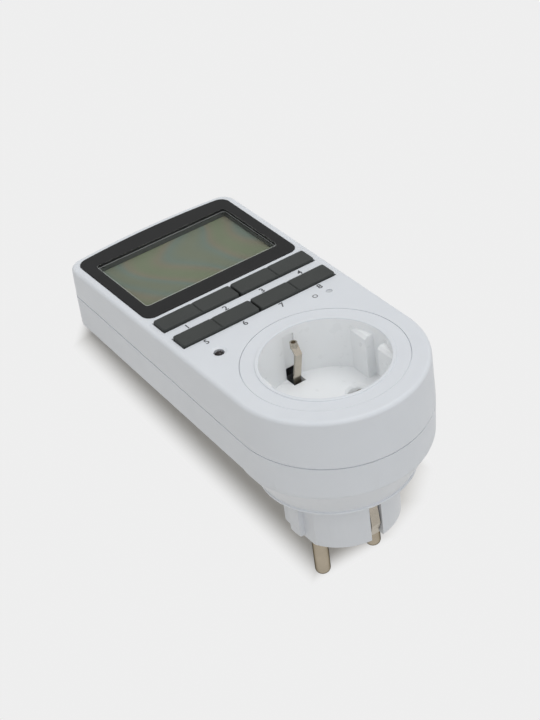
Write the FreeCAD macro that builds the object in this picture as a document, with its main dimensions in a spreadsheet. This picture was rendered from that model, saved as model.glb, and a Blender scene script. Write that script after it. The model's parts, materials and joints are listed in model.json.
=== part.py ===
"""Plug-in timer: a socket outlet, a display and a keypad on a case that plugs into the wall.

Every piece is modelled in the case's own frame. X runs across the face to the right, Y runs
along the face towards the display and Z leaves the face. The origin is the middle of the
socket well on the face. At the end all pieces get one placement, which lays the timer down
as it rests on a table: on its two pins and on the lower edge of its display end.
"""
import FreeCAD
import Part
import Sketcher
import math
import os

from FreeCAD import Placement, Rotation, Vector

doc = FreeCAD.newDocument("plug_in_timer")

# Driving dimensions in millimetres and degrees
DIMENSIONS = {
    # case
    "body_half": (30.0, "half width of the case, and radius of its round end"),
    "body_far": (97.0, "face length beyond the well axis"),
    "far_arch": 225.0,
    "corner_round": (5.0, "round of the two display end corners"),
    "face_round": (1.3, "round of the face's edge"),
    "face_draft": (0.6, "draft of the front shell in degrees"),
    "rear_draft": (1.6, "draft of the rear shell in degrees"),
    "shell_wall": (2.0, "wall of both shells"),
    "parting_depth": (14.5, "depth of the parting plane at the well axis"),
    "wedge_angle": (3.0, "angle between the face and the parting plane"),
    "rear_depth": (11.5, "thickness of the rear shell"),
    "parting_step": (0.45, "depth of the shadow groove between the shells"),
    "parting_groove": (0.4, "height of that groove"),
    "rear_proud": (0.15, "overhang of the rear shell at the groove"),
    "edge_round": (0.6, "round of the rear shell's edge"),
    "lip_wall": (0.8, "wall of the tongue between the shells"),
    "lip_rise": (1.5, "height of that tongue"),
    "fit_gap": (0.15, "clearance between parts that are put together by hand"),
    "snug_gap": (0.08, "clearance round parts that lie in a seat"),
    # socket well
    "well_radius": 19.0,
    "well_rim": (20.2, "outer radius of the raised bead round the well"),
    "well_flange": (24.4, "radius of the cup's flange"),
    "well_depth": 17.0,
    "bead_rise": (0.35, "height of that bead above the face"),
    "cup_wall": 1.5,
    "cup_floor": 2.0,
    "flange_thick": 1.2,
    "guide_flat": (16.0, "distance of the guide flats from the well axis"),
    "guide_notch": (2.9, "half width of the notch between the guides"),
    "guide_top": (2.6, "depth of the guides below the face"),
    "pin_pitch": (19.0, "distance between the two contacts"),
    "pin_hole": (2.9, "radius of a contact hole"),
    "pin_radius": 2.4,
    "pin_length": 19.0,
    "pin_tip": (1.9, "round of a pin's end"),
    "pin_neck": (2.15, "radius of a pin inside the plug"),
    "pin_slide": (0.03, "radial clearance round a pin"),
    "pin_relief": (0.3, "depth of the relief round a pin in the plug's face"),
    "clip_half": (1.15, "half width of the socket's earth clips"),
    # plug
    "boss_inset": (0.9, "step from the case's side to the rear boss"),
    "boss_root": (1.4, "height of the boss's upper band below the case"),
    "boss_radius": (23.4, "radius of the rear boss at the plug"),
    "boss_collar": (1.1, "height of the upright collar at the boss's end"),
    "boss_depth": (38.0, "depth of the boss's end below the face"),
    "boss_floor": 2.0,
    "plug_radius": 17.6,
    "plug_depth": (56.2, "depth of the plug's face below the face"),
    "plug_flat": (15.5, "distance of the plug's flats from its axis"),
    "rib_half": (2.6, "half width of the plug's guide rib"),
    "recess_half": (2.1, "half width of the plug's earth recess"),
    "recess_depth": 3.0,
    "plug_wall": 2.0,
    # display
    "bezel_margin": (2.5, "face left beside the bezel"),
    "bezel_low": 51.3,
    "bezel_end": (2.3, "face left beyond the bezel"),
    "bezel_set": (1.0, "depth of the bezel's seat in the face"),
    "bezel_rise": (0.3, "height of the bezel above the face"),
    "bezel_round": 3.6,
    "window_side": (3.6, "width of the bezel beside the window"),
    "window_foot": (6.0, "width of the bezel below the window"),
    "window_head": (7.3, "width of the bezel above the window"),
    "window_round": 1.2,
    "window_thick": 1.2,
    "window_rise": (0.1, "height of the window above the bezel"),
    "window_ledge": (0.5, "ledge that carries the window"),
    "window_wall": (1.3, "wall of the bezel's skirt round the window"),
    "glass_depth": (2.3, "depth of the display glass below the face"),
    "glass_thick": 2.2,
    # keys
    "key_low": (31.9, "lower edge of the lower key row"),
    "key_pitch": (10.7, "distance between the two key rows"),
    "key_tall": 6.3,
    "key_margin": (3.0, "face left beside a key row"),
    "key_split": (0.6, "gap between the two rockers of a row"),
    "key_rise": 1.0,
    "key_side": (0.25, "gap between a rocker and its slot"),
    "key_tilt": (2.2, "travel of a rocker each way in degrees"),
    # lamp and reset button
    "lamp_margin": (9.6, "distance of the lamp from the case's side"),
    "lamp_along": 23.7,
    "lamp_hole": 1.65,
    "reset_margin": (9.3, "distance of the reset hole from the case's side"),
    "reset_along": 26.3,
    "reset_hole": 1.0,
    "reset_travel": 0.5,
    # boards
    "board_depth": (8.0, "depth of the control board's front below the face"),
    "board_thick": 1.6,
    "board_margin": (3.4, "distance of the boards' sides from the case's side"),
    "board_low": 22.4,
    "board_screw_margin": (15.5, "distance of the board's screws from the case's side"),
    "board_end": (8.4, "distance of the boards' far ends from the case's end"),
    "power_depth": (16.9, "depth of the power board's front below the face"),
    # screws
    "screw_far_margin": (6.2, "distance of the far screws from the case's side"),
    "screw_far_end": (5.8, "distance of the far screws from the case's end"),
    "screw_mid_margin": (4.9, "distance of the middle screws from the case's side"),
    "screw_mid_along": 40.4,
    "post_radius": 2.2,
    "screw_radius": 1.25,
    "head_radius": 2.35,
    "head_depth": (4.2, "depth of a screw head's well in the rear shell"),
}

sheet = doc.addObject("Spreadsheet::Sheet", "Dims")


class Size:
    """A number together with the sheet expression that gives it."""

    def __init__(self, value, text):
        self.value = value
        self.text = text

    @staticmethod
    def of(other):
        """Return the other operand as a Size."""
        if isinstance(other, Size):
            return other
        return Size(float(other), f"({float(other):.6f})")

    def __add__(self, other):
        other = Size.of(other)
        return Size(self.value + other.value, f"({self.text} + {other.text})")

    def __sub__(self, other):
        other = Size.of(other)
        return Size(self.value - other.value, f"({self.text} - {other.text})")

    def __mul__(self, other):
        other = Size.of(other)
        return Size(self.value * other.value, f"({self.text} * {other.text})")

    def __truediv__(self, other):
        other = Size.of(other)
        return Size(self.value / other.value, f"({self.text} / {other.text})")

    def __neg__(self):
        return Size(-self.value, f"(0 - {self.text})")

    def __radd__(self, other):
        return Size.of(other) + self

    def __rsub__(self, other):
        return Size.of(other) - self

    def __rmul__(self, other):
        return Size.of(other) * self


class Sizes:
    """The sheet's cells by their names."""


def fill_sheet():
    """Write the driving dimensions into the sheet and return them by name."""
    sizes = Sizes()
    for row, (name, entry) in enumerate(DIMENSIONS.items(), start=1):
        value, note = entry if isinstance(entry, tuple) else (entry, "")
        sheet.set(f"A{row}", name)
        sheet.set(f"B{row}", str(value))
        sheet.set(f"C{row}", note)
        sheet.setAlias(f"B{row}", name)
        setattr(sizes, name, Size(value, f"Dims.{name}"))
    doc.recompute()
    return sizes


S = fill_sheet()


def number(size):
    """Return the plain number of a size."""
    return size.value if isinstance(size, Size) else float(size)


def span(first, second):
    """Return two sizes in rising order."""
    return (first, second) if number(first) <= number(second) else (second, first)


def give(target, prop, size):
    """Set a property to a size and bind it to the sheet."""
    if isinstance(size, Size):
        target.setExpression(prop, size.text)


class Piece:
    """One separate piece of the timer, built as a body of its own."""

    made = []

    def __init__(self, label):
        self.label = label
        self.body = doc.addObject("PartDesign::Body", label)
        self.body.Label = label
        self.body.AllowCompound = True
        self.serial = 0
        Piece.made.append(self)

    def name(self, word):
        """Return a fresh feature name inside this piece."""
        self.serial += 1
        return f"{self.label}_{word}{self.serial}"

    def primitive(self, kind, cut, at, turn=None):
        """Add or cut one primitive at a place given by sizes."""
        sign = "Subtractive" if cut else "Additive"
        made = self.body.newObject(f"PartDesign::{sign}{kind}", self.name(kind.lower()))
        made.Placement = Placement(Vector(*[number(value) for value in at]), turn or Rotation())
        for axis, value in zip("xyz", at):
            give(made, f"Placement.Base.{axis}", value)
        return made

    def box(self, across, along, deep, cut=False):
        """A block between two X, two Y and two Z planes."""
        made = self.primitive("Box", cut, (across[0], along[0], deep[0]))
        for prop, span in (("Length", across), ("Width", along), ("Height", deep)):
            size = Size.of(span[1]) - Size.of(span[0])
            setattr(made, prop, size.value)
            give(made, prop, size)
        return made

    def rod(self, middle, deep, radius, cut=False, axis="z"):
        """A cylinder along Z, or along X or Y when axis says so."""
        start = deep[0]
        if axis == "z":
            at, turn = (middle[0], middle[1], start), Rotation()
        elif axis == "x":
            at, turn = (start, middle[0], middle[1]), Rotation(Vector(0, 1, 0), 90)
        else:
            at, turn = (middle[0], start, middle[1]), Rotation(Vector(1, 0, 0), -90)
        made = self.primitive("Cylinder", cut, at, turn)
        length = Size.of(deep[1]) - Size.of(deep[0])
        made.Radius = number(radius)
        made.Height = length.value
        give(made, "Radius", radius)
        give(made, "Height", length)
        return made

    def cone(self, middle, deep, radii, cut=False):
        """A cone along Z from radii[0] at deep[0] to radii[1] at deep[1]."""
        made = self.primitive("Cone", cut, (middle[0], middle[1], deep[0]))
        length = Size.of(deep[1]) - Size.of(deep[0])
        made.Radius1 = number(radii[0])
        made.Radius2 = number(radii[1])
        made.Height = length.value
        give(made, "Radius1", radii[0])
        give(made, "Radius2", radii[1])
        give(made, "Height", length)
        return made

    def cross(self, middle, deep, reach, half):
        """Cut a cross recess into a screw's head."""
        across, along = middle
        for wide, narrow in ((reach, half), (half, reach)):
            self.box((across - wide, across + wide), (along - narrow, along + narrow), deep, cut=True)

    def sketch(self, plane="XY", deep=0.0, lean=0.0):
        """A sketch on one of the body's planes, moved along its normal and leaned about X."""
        made = self.body.newObject("Sketcher::SketchObject", self.name("sketch"))
        planes = {origin.Role: origin for origin in self.body.Origin.OriginFeatures}
        made.AttachmentSupport = (planes[f"{plane}_Plane"], [""])
        made.MapMode = "FlatFace"
        turn = Rotation(Vector(1, 0, 0), number(lean))
        made.AttachmentOffset = Placement(Vector(0, 0, number(deep)), turn)
        give(made, "AttachmentOffset.Base.z", deep)
        if isinstance(lean, Size):
            made.setExpression("AttachmentOffset.Rotation.Angle", lean.text)
        return made

    def pad(self, sketch, length, down=False, both=False, taper=None):
        """Raise a sketch into a solid."""
        made = self.body.newObject("PartDesign::Pad", self.name("pad"))
        made.Profile = sketch
        made.Length = number(length)
        give(made, "Length", length)
        made.Reversed = down
        made.Midplane = both
        if taper is not None:
            made.TaperAngle = number(taper)
            give(made, "TaperAngle", taper)
        doc.recompute()
        return made

    def pocket(self, sketch, length, up=False, both=False):
        """Cut a sketch out of the solid, downwards unless up is true."""
        made = self.body.newObject("PartDesign::Pocket", self.name("pocket"))
        made.Profile = sketch
        made.Length = number(length)
        give(made, "Length", length)
        made.Reversed = up
        made.Midplane = both
        doc.recompute()
        return made

    def dress(self, kind, size, wanted):
        """Fillet or chamfer the edges of the tip that the test picks."""
        doc.recompute()
        base = self.body.Tip
        edges = [f"Edge{index}" for index, edge in enumerate(base.Shape.Edges, start=1) if wanted(edge)]
        made = self.body.newObject(f"PartDesign::{kind}", self.name(kind.lower()))
        made.Base = (base, edges)
        prop = "Radius" if kind == "Fillet" else "Size"
        setattr(made, prop, number(size))
        give(made, prop, size)
        doc.recompute()
        return made


def pin_point(sketch, geometry, position, across, along):
    """Fix one point of a sketch's geometry at two sizes from the origin."""
    for word, size in (("DistanceX", across), ("DistanceY", along)):
        if abs(number(size)) < 1e-9:
            axis = -2 if word == "DistanceX" else -1
            sketch.addConstraint(Sketcher.Constraint("PointOnObject", geometry, position, axis))
            continue
        index = sketch.addConstraint(
            Sketcher.Constraint(word, -1, 1, geometry, position, number(size)))
        if isinstance(size, Size):
            sketch.setExpression(f"Constraints[{index}]", size.text)


def polygon(sketch, points):
    """Draw a closed outline through points given as pairs of sizes."""
    plain = [Vector(number(across), number(along), 0) for across, along in points]
    first = sketch.GeometryCount
    for start, end in zip(plain, plain[1:] + plain[:1]):
        sketch.addGeometry(Part.LineSegment(start, end), False)
    count = len(points)
    for index in range(count):
        following = first + (index + 1) % count
        sketch.addConstraint(Sketcher.Constraint("Coincident", first + index, 2, following, 1))
    for index, (across, along) in enumerate(points):
        pin_point(sketch, first + index, 1, across, along)
    return sketch


def rectangle(sketch, across, along):
    """Draw a rectangle between two spans of sizes."""
    corners = [(across[0], along[0]), (across[1], along[0]), (across[1], along[1]), (across[0], along[1])]
    return polygon(sketch, corners)


def radius_of(sketch, index, radius):
    """Fix the radius of one circle or arc of a sketch at a size."""
    bound = sketch.addConstraint(Sketcher.Constraint("Radius", index, number(radius)))
    if isinstance(radius, Size):
        sketch.setExpression(f"Constraints[{bound}]", radius.text)


def circle(sketch, across, along, radius):
    """Draw a circle at a place and with a radius given by sizes."""
    centre = Vector(number(across), number(along), 0)
    index = sketch.addGeometry(Part.Circle(centre, Vector(0, 0, 1), number(radius)), False)
    pin_point(sketch, index, 3, across, along)
    radius_of(sketch, index, radius)
    return sketch


def arched(sketch, half, low, high, corner):
    """Draw straight sides, rounded upper corners and an arched top; a round bottom without low."""
    wide, top, bend, turn = number(half), number(high), S.far_arch.value, number(corner)
    middle = top - bend
    knee = middle + math.sqrt((bend - turn) ** 2 - (wide - turn) ** 2)
    angle = math.atan2(knee - middle, wide - turn)
    normal = Vector(0, 0, 1)
    ground = 0.0 if low is None else number(low)

    def arc(centre, radius, start, end):
        return Part.ArcOfCircle(Part.Circle(centre, normal, radius), start, end)

    if low is None:
        bottom = arc(Vector(0, 0, 0), wide, math.pi, 2 * math.pi)
    else:
        bottom = Part.LineSegment(Vector(-wide, ground, 0), Vector(wide, ground, 0))
    outline = [
        bottom,
        Part.LineSegment(Vector(wide, ground, 0), Vector(wide, knee, 0)),
        arc(Vector(wide - turn, knee, 0), turn, 0, angle),
        arc(Vector(0, middle, 0), bend, angle, math.pi - angle),
        arc(Vector(turn - wide, knee, 0), turn, math.pi - angle, math.pi),
        Part.LineSegment(Vector(-wide, knee, 0), Vector(-wide, ground, 0))]
    for geometry in outline:
        sketch.addGeometry(geometry, False)
    for joined in ("Coincident", 0, 1), ("Coincident", 5, 0):
        sketch.addConstraint(Sketcher.Constraint(joined[0], joined[1], 2, joined[2], 1))
    for start in range(1, 5):
        sketch.addConstraint(Sketcher.Constraint("Tangent", start, 2, start + 1, 1))
    sketch.addConstraint(Sketcher.Constraint("Vertical", 1))
    sketch.addConstraint(Sketcher.Constraint("Vertical", 5))
    sketch.addConstraint(Sketcher.Constraint("Equal", 2, 4))
    if low is None:
        sketch.addConstraint(Sketcher.Constraint("Coincident", 0, 3, -1, 1))
        sketch.addConstraint(Sketcher.Constraint("PointOnObject", 0, 1, -1))
        sketch.addConstraint(Sketcher.Constraint("PointOnObject", 0, 2, -1))
        radius_of(sketch, 0, half)
    else:
        pin_point(sketch, 0, 1, -Size.of(half), low)
        pin_point(sketch, 0, 2, half, low)
    radius_of(sketch, 2, corner)
    radius_of(sketch, 3, S.far_arch)
    pin_point(sketch, 3, 3, 0, Size.of(high) - S.far_arch)
    return sketch


# Edge tests for fillets and chamfers
def upright_at(across, along, reach=2.0):
    """Pick edges that run along Z near a corner."""
    def test(edge):
        middle = edge.CenterOfMass
        runs = abs(edge.Vertexes[-1].Z - edge.Vertexes[0].Z) > 0.5 * edge.Length
        near = abs(abs(middle.x) - across) < reach and abs(middle.y - along) < reach
        return runs and near
    return test


def at_level(level, reach=0.01):
    """Pick edges that lie at one Z."""
    def test(edge):
        box = edge.BoundBox
        return abs(box.ZMin - level) < reach and abs(box.ZMax - level) < reach
    return test


# Sizes that follow the case
S.boss_top = S.body_half - S.boss_inset
S.bezel_half = S.body_half - S.bezel_margin
S.bezel_high = S.body_far - S.bezel_end
S.window_half = S.bezel_half - S.window_side
S.window_low = S.bezel_low + S.window_foot
S.window_high = S.bezel_high - S.window_head
S.key_half = S.body_half - S.key_margin
S.lamp_across = S.lamp_margin - S.body_half
S.reset_across = S.body_half - S.reset_margin
S.board_half = S.body_half - S.board_margin
S.board_high = S.body_far - S.board_end
S.screw_far_across = S.body_half - S.screw_far_margin
S.screw_far_along = S.body_far - S.screw_far_end
S.screw_mid_across = S.body_half - S.screw_mid_margin

# Levels and places used by several pieces
half_pitch = S.pin_pitch / 2
cup_outer = S.well_radius + S.cup_wall
cup_bottom = -(S.well_depth + S.cup_floor)
board_front = -S.board_depth
board_back = board_front - S.board_thick
power_front = -S.power_depth
power_back = power_front - S.board_thick
row_lows = {"lower": S.key_low, "upper": S.key_low + S.key_pitch}
key_pivot = (S.key_half + S.key_split / 2) / 2
case_screws_at = [
    (side * across, along)
    for across, along in ((S.screw_far_across, S.screw_far_along), (S.screw_mid_across, S.screw_mid_along))
    for side in (-1, 1)]
board_screw_across = S.body_half - S.board_screw_margin
board_screw_rows = (S.bezel_low + 1.9, S.key_low - 3.2)
dome_reach = 8.4
dome_top = -4.7
power_half = S.board_half - 0.4
parts_half = power_half - 3.2
pad_half = power_half - 5.2
power_pads = ((-pad_half, 33.4), (pad_half, 33.4), (-pad_half, 83.0), (4.0, 83.0))
tab_across = 14.5
pin_seat = -(S.plug_depth - 12.0)
strip_half = S.recess_half - S.fit_gap * 3
strip_top = -(S.boss_depth - S.boss_floor) + 2.8
carrier_top = -(S.boss_depth - S.boss_floor) + 7.0
wire_rise = 12.6
slope = math.tan(math.radians(S.wedge_angle.value))


def parting_at(along):
    """Return the depth of the parting plane at a place along the case."""
    return -S.parting_depth + slope * Size.of(along)


# Front cover: the upper shell with all openings of the face
def front_cover():
    piece = Piece("front_cover")
    deepest = S.parting_depth + 3
    outline = arched(piece.sketch(), S.body_half, None, S.body_far, S.corner_round)
    piece.pad(outline, deepest, down=True, taper=S.face_draft)
    piece.dress("Fillet", S.face_round, at_level(0.0))

    inside = S.body_half - S.shell_wall
    inner_round = S.corner_round - S.shell_wall
    inner_far = S.body_far - S.shell_wall
    hollow = arched(piece.sketch(deep=-deepest - 1), inside, None, inner_far, inner_round)
    piece.pocket(hollow, deepest + 1 - S.shell_wall, up=True)

    # posts for the case screws and for the control board
    for across, along in case_screws_at:
        piece.rod((across, along), (parting_at(along) + S.lip_rise + 0.1, -S.shell_wall / 2), S.post_radius)
    for side in (-1, 1):
        for along in board_screw_rows:
            piece.rod((side * board_screw_across, along), (board_front, -S.shell_wall / 2), 2.1)
    # stiffening ribs across the near end
    for side in (-1, 1):
        across = span(side * (cup_outer.value + 0.4), side * (inside.value + 0.4))
        piece.box(across, (-0.6, 0.6), (-6.0, -S.shell_wall / 2))

    # everything below the parting plane comes off
    cutter = piece.sketch("YZ")
    low, high = S.body_half * -2, S.body_far + S.body_half
    below = -S.parting_depth - S.plug_depth
    polygon(cutter, [(low, below), (high, below), (high, parting_at(high)), (low, parting_at(low))])
    piece.pocket(cutter, 4 * S.body_half, both=True)

    # seat of the socket cup, seat and opening of the display
    piece.rod((0, 0), (-S.flange_thick, 1), S.well_flange + S.snug_gap, cut=True)
    piece.rod((0, 0), (-2 * S.shell_wall, 1), cup_outer + S.fit_gap, cut=True)
    grown = S.bezel_half + S.snug_gap
    low, high = S.bezel_low - S.snug_gap, S.bezel_high + S.snug_gap
    seat = arched(piece.sketch(deep=-S.bezel_set), grown, low, high, S.bezel_round)
    piece.pocket(seat, S.bezel_set + 1, up=True)
    piece.dress("Fillet", S.bezel_round - 0.4, upright_at(grown.value, low.value, 0.3))
    room = S.window_wall + S.fit_gap
    across = S.window_half + room
    along = (S.window_low - room, S.window_high + room)
    piece.box((-across, across), along, (-2 * S.shell_wall, 0), cut=True)

    # key slots, lamp hole and reset hole
    reach = S.key_half + S.key_side
    for low in row_lows.values():
        along = (low - S.key_side, low + S.key_tall + S.key_side)
        piece.box((-reach, reach), along, (-2 * S.shell_wall, 1), cut=True)
    piece.rod((S.lamp_across, S.lamp_along), (-2 * S.shell_wall, 1), S.lamp_hole, cut=True)
    dish = (S.lamp_hole + 0.15, S.lamp_hole + 1.0)
    piece.cone((S.lamp_across, S.lamp_along), (-0.35, 0.05), dish, cut=True)
    piece.rod((S.reset_across, S.reset_along), (-2 * S.shell_wall, 1), S.reset_hole, cut=True)

    # pilot holes of the screws
    pilot = (-S.parting_depth - 1, -S.shell_wall - 0.6)
    for across, along in case_screws_at:
        piece.rod((across, along), pilot, S.screw_radius + S.pin_slide, cut=True)
    for side in (-1, 1):
        for along in board_screw_rows:
            place = (side * board_screw_across, along)
            piece.rod(place, (board_front - 1, -S.shell_wall - 0.2), 0.88, cut=True)
    return piece


# Rear cover: the lower shell with the tapered boss that carries the plug
def rear_cover():
    piece = Piece("rear_cover")
    lean = S.wedge_angle
    full = S.body_half + S.rear_proud
    far = S.body_far + S.rear_proud
    step_tall = S.parting_groove
    start = -S.parting_depth - step_tall
    outline = arched(piece.sketch(deep=start, lean=lean), full, None, far, S.corner_round)
    piece.pad(outline, S.rear_depth - step_tall, down=True, taper=-S.rear_draft)
    bottom = -S.parting_depth.value - S.rear_depth.value

    def lower_edges(edge):
        middle = edge.CenterOfMass
        level = bottom + slope * middle.y
        return abs(middle.z - level) < 0.4

    piece.dress("Fillet", S.edge_round, lower_edges)
    neck = full - S.parting_step
    seat = arched(piece.sketch(deep=start, lean=lean), neck, None, far - S.parting_step,
                  S.corner_round - S.parting_step)
    piece.pad(seat, step_tall - 0.02)
    tongue = S.body_half - S.shell_wall - S.fit_gap
    tongue_far = S.body_far - S.shell_wall - S.fit_gap
    inner_round = S.corner_round - S.shell_wall
    rim = arched(piece.sketch(deep=start, lean=lean), tongue, None, tongue_far, inner_round)
    piece.pad(rim, S.lip_rise + step_tall)

    # the upper part of the hollow is narrower, so that the tongue has a root
    upper = arched(piece.sketch(deep=-S.parting_depth + S.lip_rise + 1, lean=lean), tongue - S.lip_wall,
                   None, tongue_far - S.lip_wall, inner_round - S.lip_wall)
    piece.pocket(upper, S.rear_depth - S.shell_wall + S.lip_rise + 1)
    lower = arched(piece.sketch(deep=-S.parting_depth - 1.6, lean=lean), full - S.shell_wall, None,
                   far - S.shell_wall, inner_round)
    piece.pocket(lower, S.rear_depth - S.shell_wall - 1.6)

    # boss with its own hollow
    root = -(S.parting_depth + S.rear_depth + S.boss_root)
    collar = -S.boss_depth + S.boss_collar
    piece.rod((0, 0), (root, root + 2.5), S.boss_top)
    piece.cone((0, 0), (collar, root), (S.boss_radius, S.boss_top))
    piece.rod((0, 0), (-S.boss_depth, collar), S.boss_radius)
    piece.dress("Fillet", 0.4, at_level(-S.boss_depth.value))
    inner = S.boss_depth - S.boss_floor
    hollow = S.boss_top - S.boss_floor
    piece.cone((0, 0), (-inner, root + 2.6), (S.boss_radius - S.boss_floor, hollow), cut=True)
    piece.rod((0, 0), (root + 2.5, root + 9.4), hollow, cut=True)
    piece.rod((0, 0), (-S.boss_depth - 1, -inner + 1), S.plug_radius + S.snug_gap, cut=True)

    # pillars under the case screws, pads under the power board
    for across, along in case_screws_at:
        floor = parting_at(along) - S.rear_depth + 1
        piece.rod((across, along), (floor, parting_at(along) - 0.1), S.head_radius + 0.85)
        piece.rod((across, along), (floor, parting_at(along) + S.lip_rise), S.post_radius)
    for across, along in power_pads:
        piece.rod((across, along), (parting_at(along) - S.rear_depth + 1, power_back), 2.4)
        piece.rod((across, along), (power_back - 2.0, power_back + 1), 1.02, cut=True)
    for across, along in case_screws_at:
        back = parting_at(along) - S.rear_depth
        piece.rod((across, along), (back - 1, back + S.head_depth), S.head_radius + 0.25, cut=True)
        piece.rod((across, along), (back, parting_at(along) + 3), S.screw_radius + 0.35, cut=True)
    # shallow plain field for the rating plate
    plate = piece.sketch(deep=-S.parting_depth - S.rear_depth - 1, lean=lean)
    field = S.body_half * 0.6
    rectangle(plate, (-field, field), (S.screw_mid_along + 1.6, S.board_high - 8.6))
    piece.pocket(plate, 1.25, up=True)
    return piece


# Display: bezel, window, glass, reflector, frame and rubber connector
def display():
    bezel = Piece("display_bezel")
    height = S.bezel_set + S.bezel_rise
    outline = arched(bezel.sketch(deep=-S.bezel_set), S.bezel_half, S.bezel_low, S.bezel_high, S.bezel_round)
    bezel.pad(outline, height)
    bezel.dress("Fillet", S.bezel_round - 0.4, upright_at(S.bezel_half.value, S.bezel_low.value))
    bezel.dress("Fillet", 0.25, at_level(S.bezel_rise.value))
    skirt = S.window_half + S.window_wall
    along = (S.window_low - S.window_wall, S.window_high + S.window_wall)
    bezel.box((-skirt, skirt), along, (-S.glass_depth + 0.05, -S.bezel_set / 2))
    hole = S.window_half - S.window_ledge
    window_top = S.bezel_rise + S.window_rise
    along = (S.window_low + S.window_ledge, S.window_high - S.window_ledge)
    bezel.box((-hole, hole), along, (-S.glass_depth - 1, 2), cut=True)
    opening = bezel.sketch(deep=S.bezel_rise + 1)
    rectangle(opening, (-S.window_half, S.window_half), (S.window_low, S.window_high))
    bezel.pocket(opening, 1 - S.window_rise + S.window_thick)
    for along in (S.window_low, S.window_high):
        bezel.dress("Fillet", S.window_round, upright_at(S.window_half.value, along.value, 0.05))

    window = Piece("display_window")
    half = S.window_half - 0.05
    plate = window.sketch(deep=window_top - S.window_thick)
    rectangle(plate, (-half, half), (S.window_low + 0.05, S.window_high - 0.05))
    window.pad(plate, S.window_thick)
    for along in (S.window_low, S.window_high):
        window.dress("Fillet", S.window_round, upright_at(half.value, along.value, 0.2))

    glass_back = -(S.glass_depth + S.glass_thick)
    low, high = S.window_low - 1.5, S.window_high + 1.2
    half = S.window_half + 1.5
    glass = Piece("lcd_glass")
    glass.box((-half, half), (low, high), (glass_back, -S.glass_depth))
    ledge = glass_back + S.glass_thick / 2
    glass.box((-half - 1, half + 1), (low - 1, low + 2.6), (glass_back - 1, ledge), cut=True)

    reflector = Piece("lcd_reflector")
    reflector.box((-half + 0.4, half - 0.4), (low + 4.2, high - 0.2), (glass_back - 1.5, glass_back))
    frame = Piece("lcd_frame")
    frame.box((-half - 0.3, half + 0.3), (low + 3.6, high), (board_front, glass_back - 1.5))
    frame.box((-half + 2, half - 2), (low + 6, high - 2), (board_front - 1, glass_back), cut=True)
    connector = Piece("lcd_connector")
    connector.box((-half + 1.5, half - 1.5), (low + 0.3, low + 2.5), (board_front, ledge))


# Keys: four rockers, each with two caps joined by a low bridge
def key(label, side, low):
    piece = Piece(label)
    middle = side * key_pivot
    half = (S.key_half - S.key_split / 2) / 2
    under = -1.6
    for way in (-1, 1):
        ends = span(middle + way * half, middle + way * 0.2)
        piece.box(ends, (low, low + S.key_tall), (under, S.key_rise))
    doc.recompute()
    tall = low.value + S.key_tall.value

    def cap_corners(edge):
        across = edge.CenterOfMass.x - middle.value
        along = edge.CenterOfMass.y
        runs = edge.Length > 2.0 and abs(edge.Vertexes[-1].Z - edge.Vertexes[0].Z) > 2.0
        return runs and (abs(along - low.value) < 0.01 or abs(along - tall) < 0.01) and abs(across) > 0.1

    piece.dress("Fillet", 0.7, cap_corners)
    piece.dress("Fillet", 0.35, at_level(S.key_rise.value))
    centre = low + S.key_tall / 2
    piece.box((middle - 1, middle + 1), (low + 0.05, low + S.key_tall - 0.05), (under, S.key_rise - 0.3))
    piece.box((middle - 3, middle + 3), (low + 0.5, low + S.key_tall - 0.5), (-3.0, under + 0.1))
    piece.box((middle - 2.5, middle + 2.5), (low - 0.9, low + S.key_tall + 0.9), (-3.0, -S.shell_wall - 0.3))
    for way in (-1, 1):
        piece.rod((middle + way * dome_reach, centre), (dome_top + 0.08, under + 0.1), 1.4)
    return piece


def keypad():
    mat = Piece("keypad_mat")
    top = board_front + 0.8
    half = S.key_half - 2.4
    mat.box((-half, half), (S.key_low - 0.8, S.key_low + S.key_pitch + S.key_tall + 1.2), (board_front, top))
    for low in row_lows.values():
        for side in (-1, 1):
            for way in (-1, 1):
                place = (side * key_pivot + way * dome_reach, low + S.key_tall / 2)
                mat.cone(place, (top, dome_top), (2.8, 1.8))
                mat.cone(place, (board_front, dome_top - 0.9), (2.5, 1.3), cut=True)
    for side in (-1, 1):
        place = (side * S.screw_mid_across, S.screw_mid_along)
        mat.rod(place, (board_front - 1, top + 1), S.post_radius + 0.4, cut=True)


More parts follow.
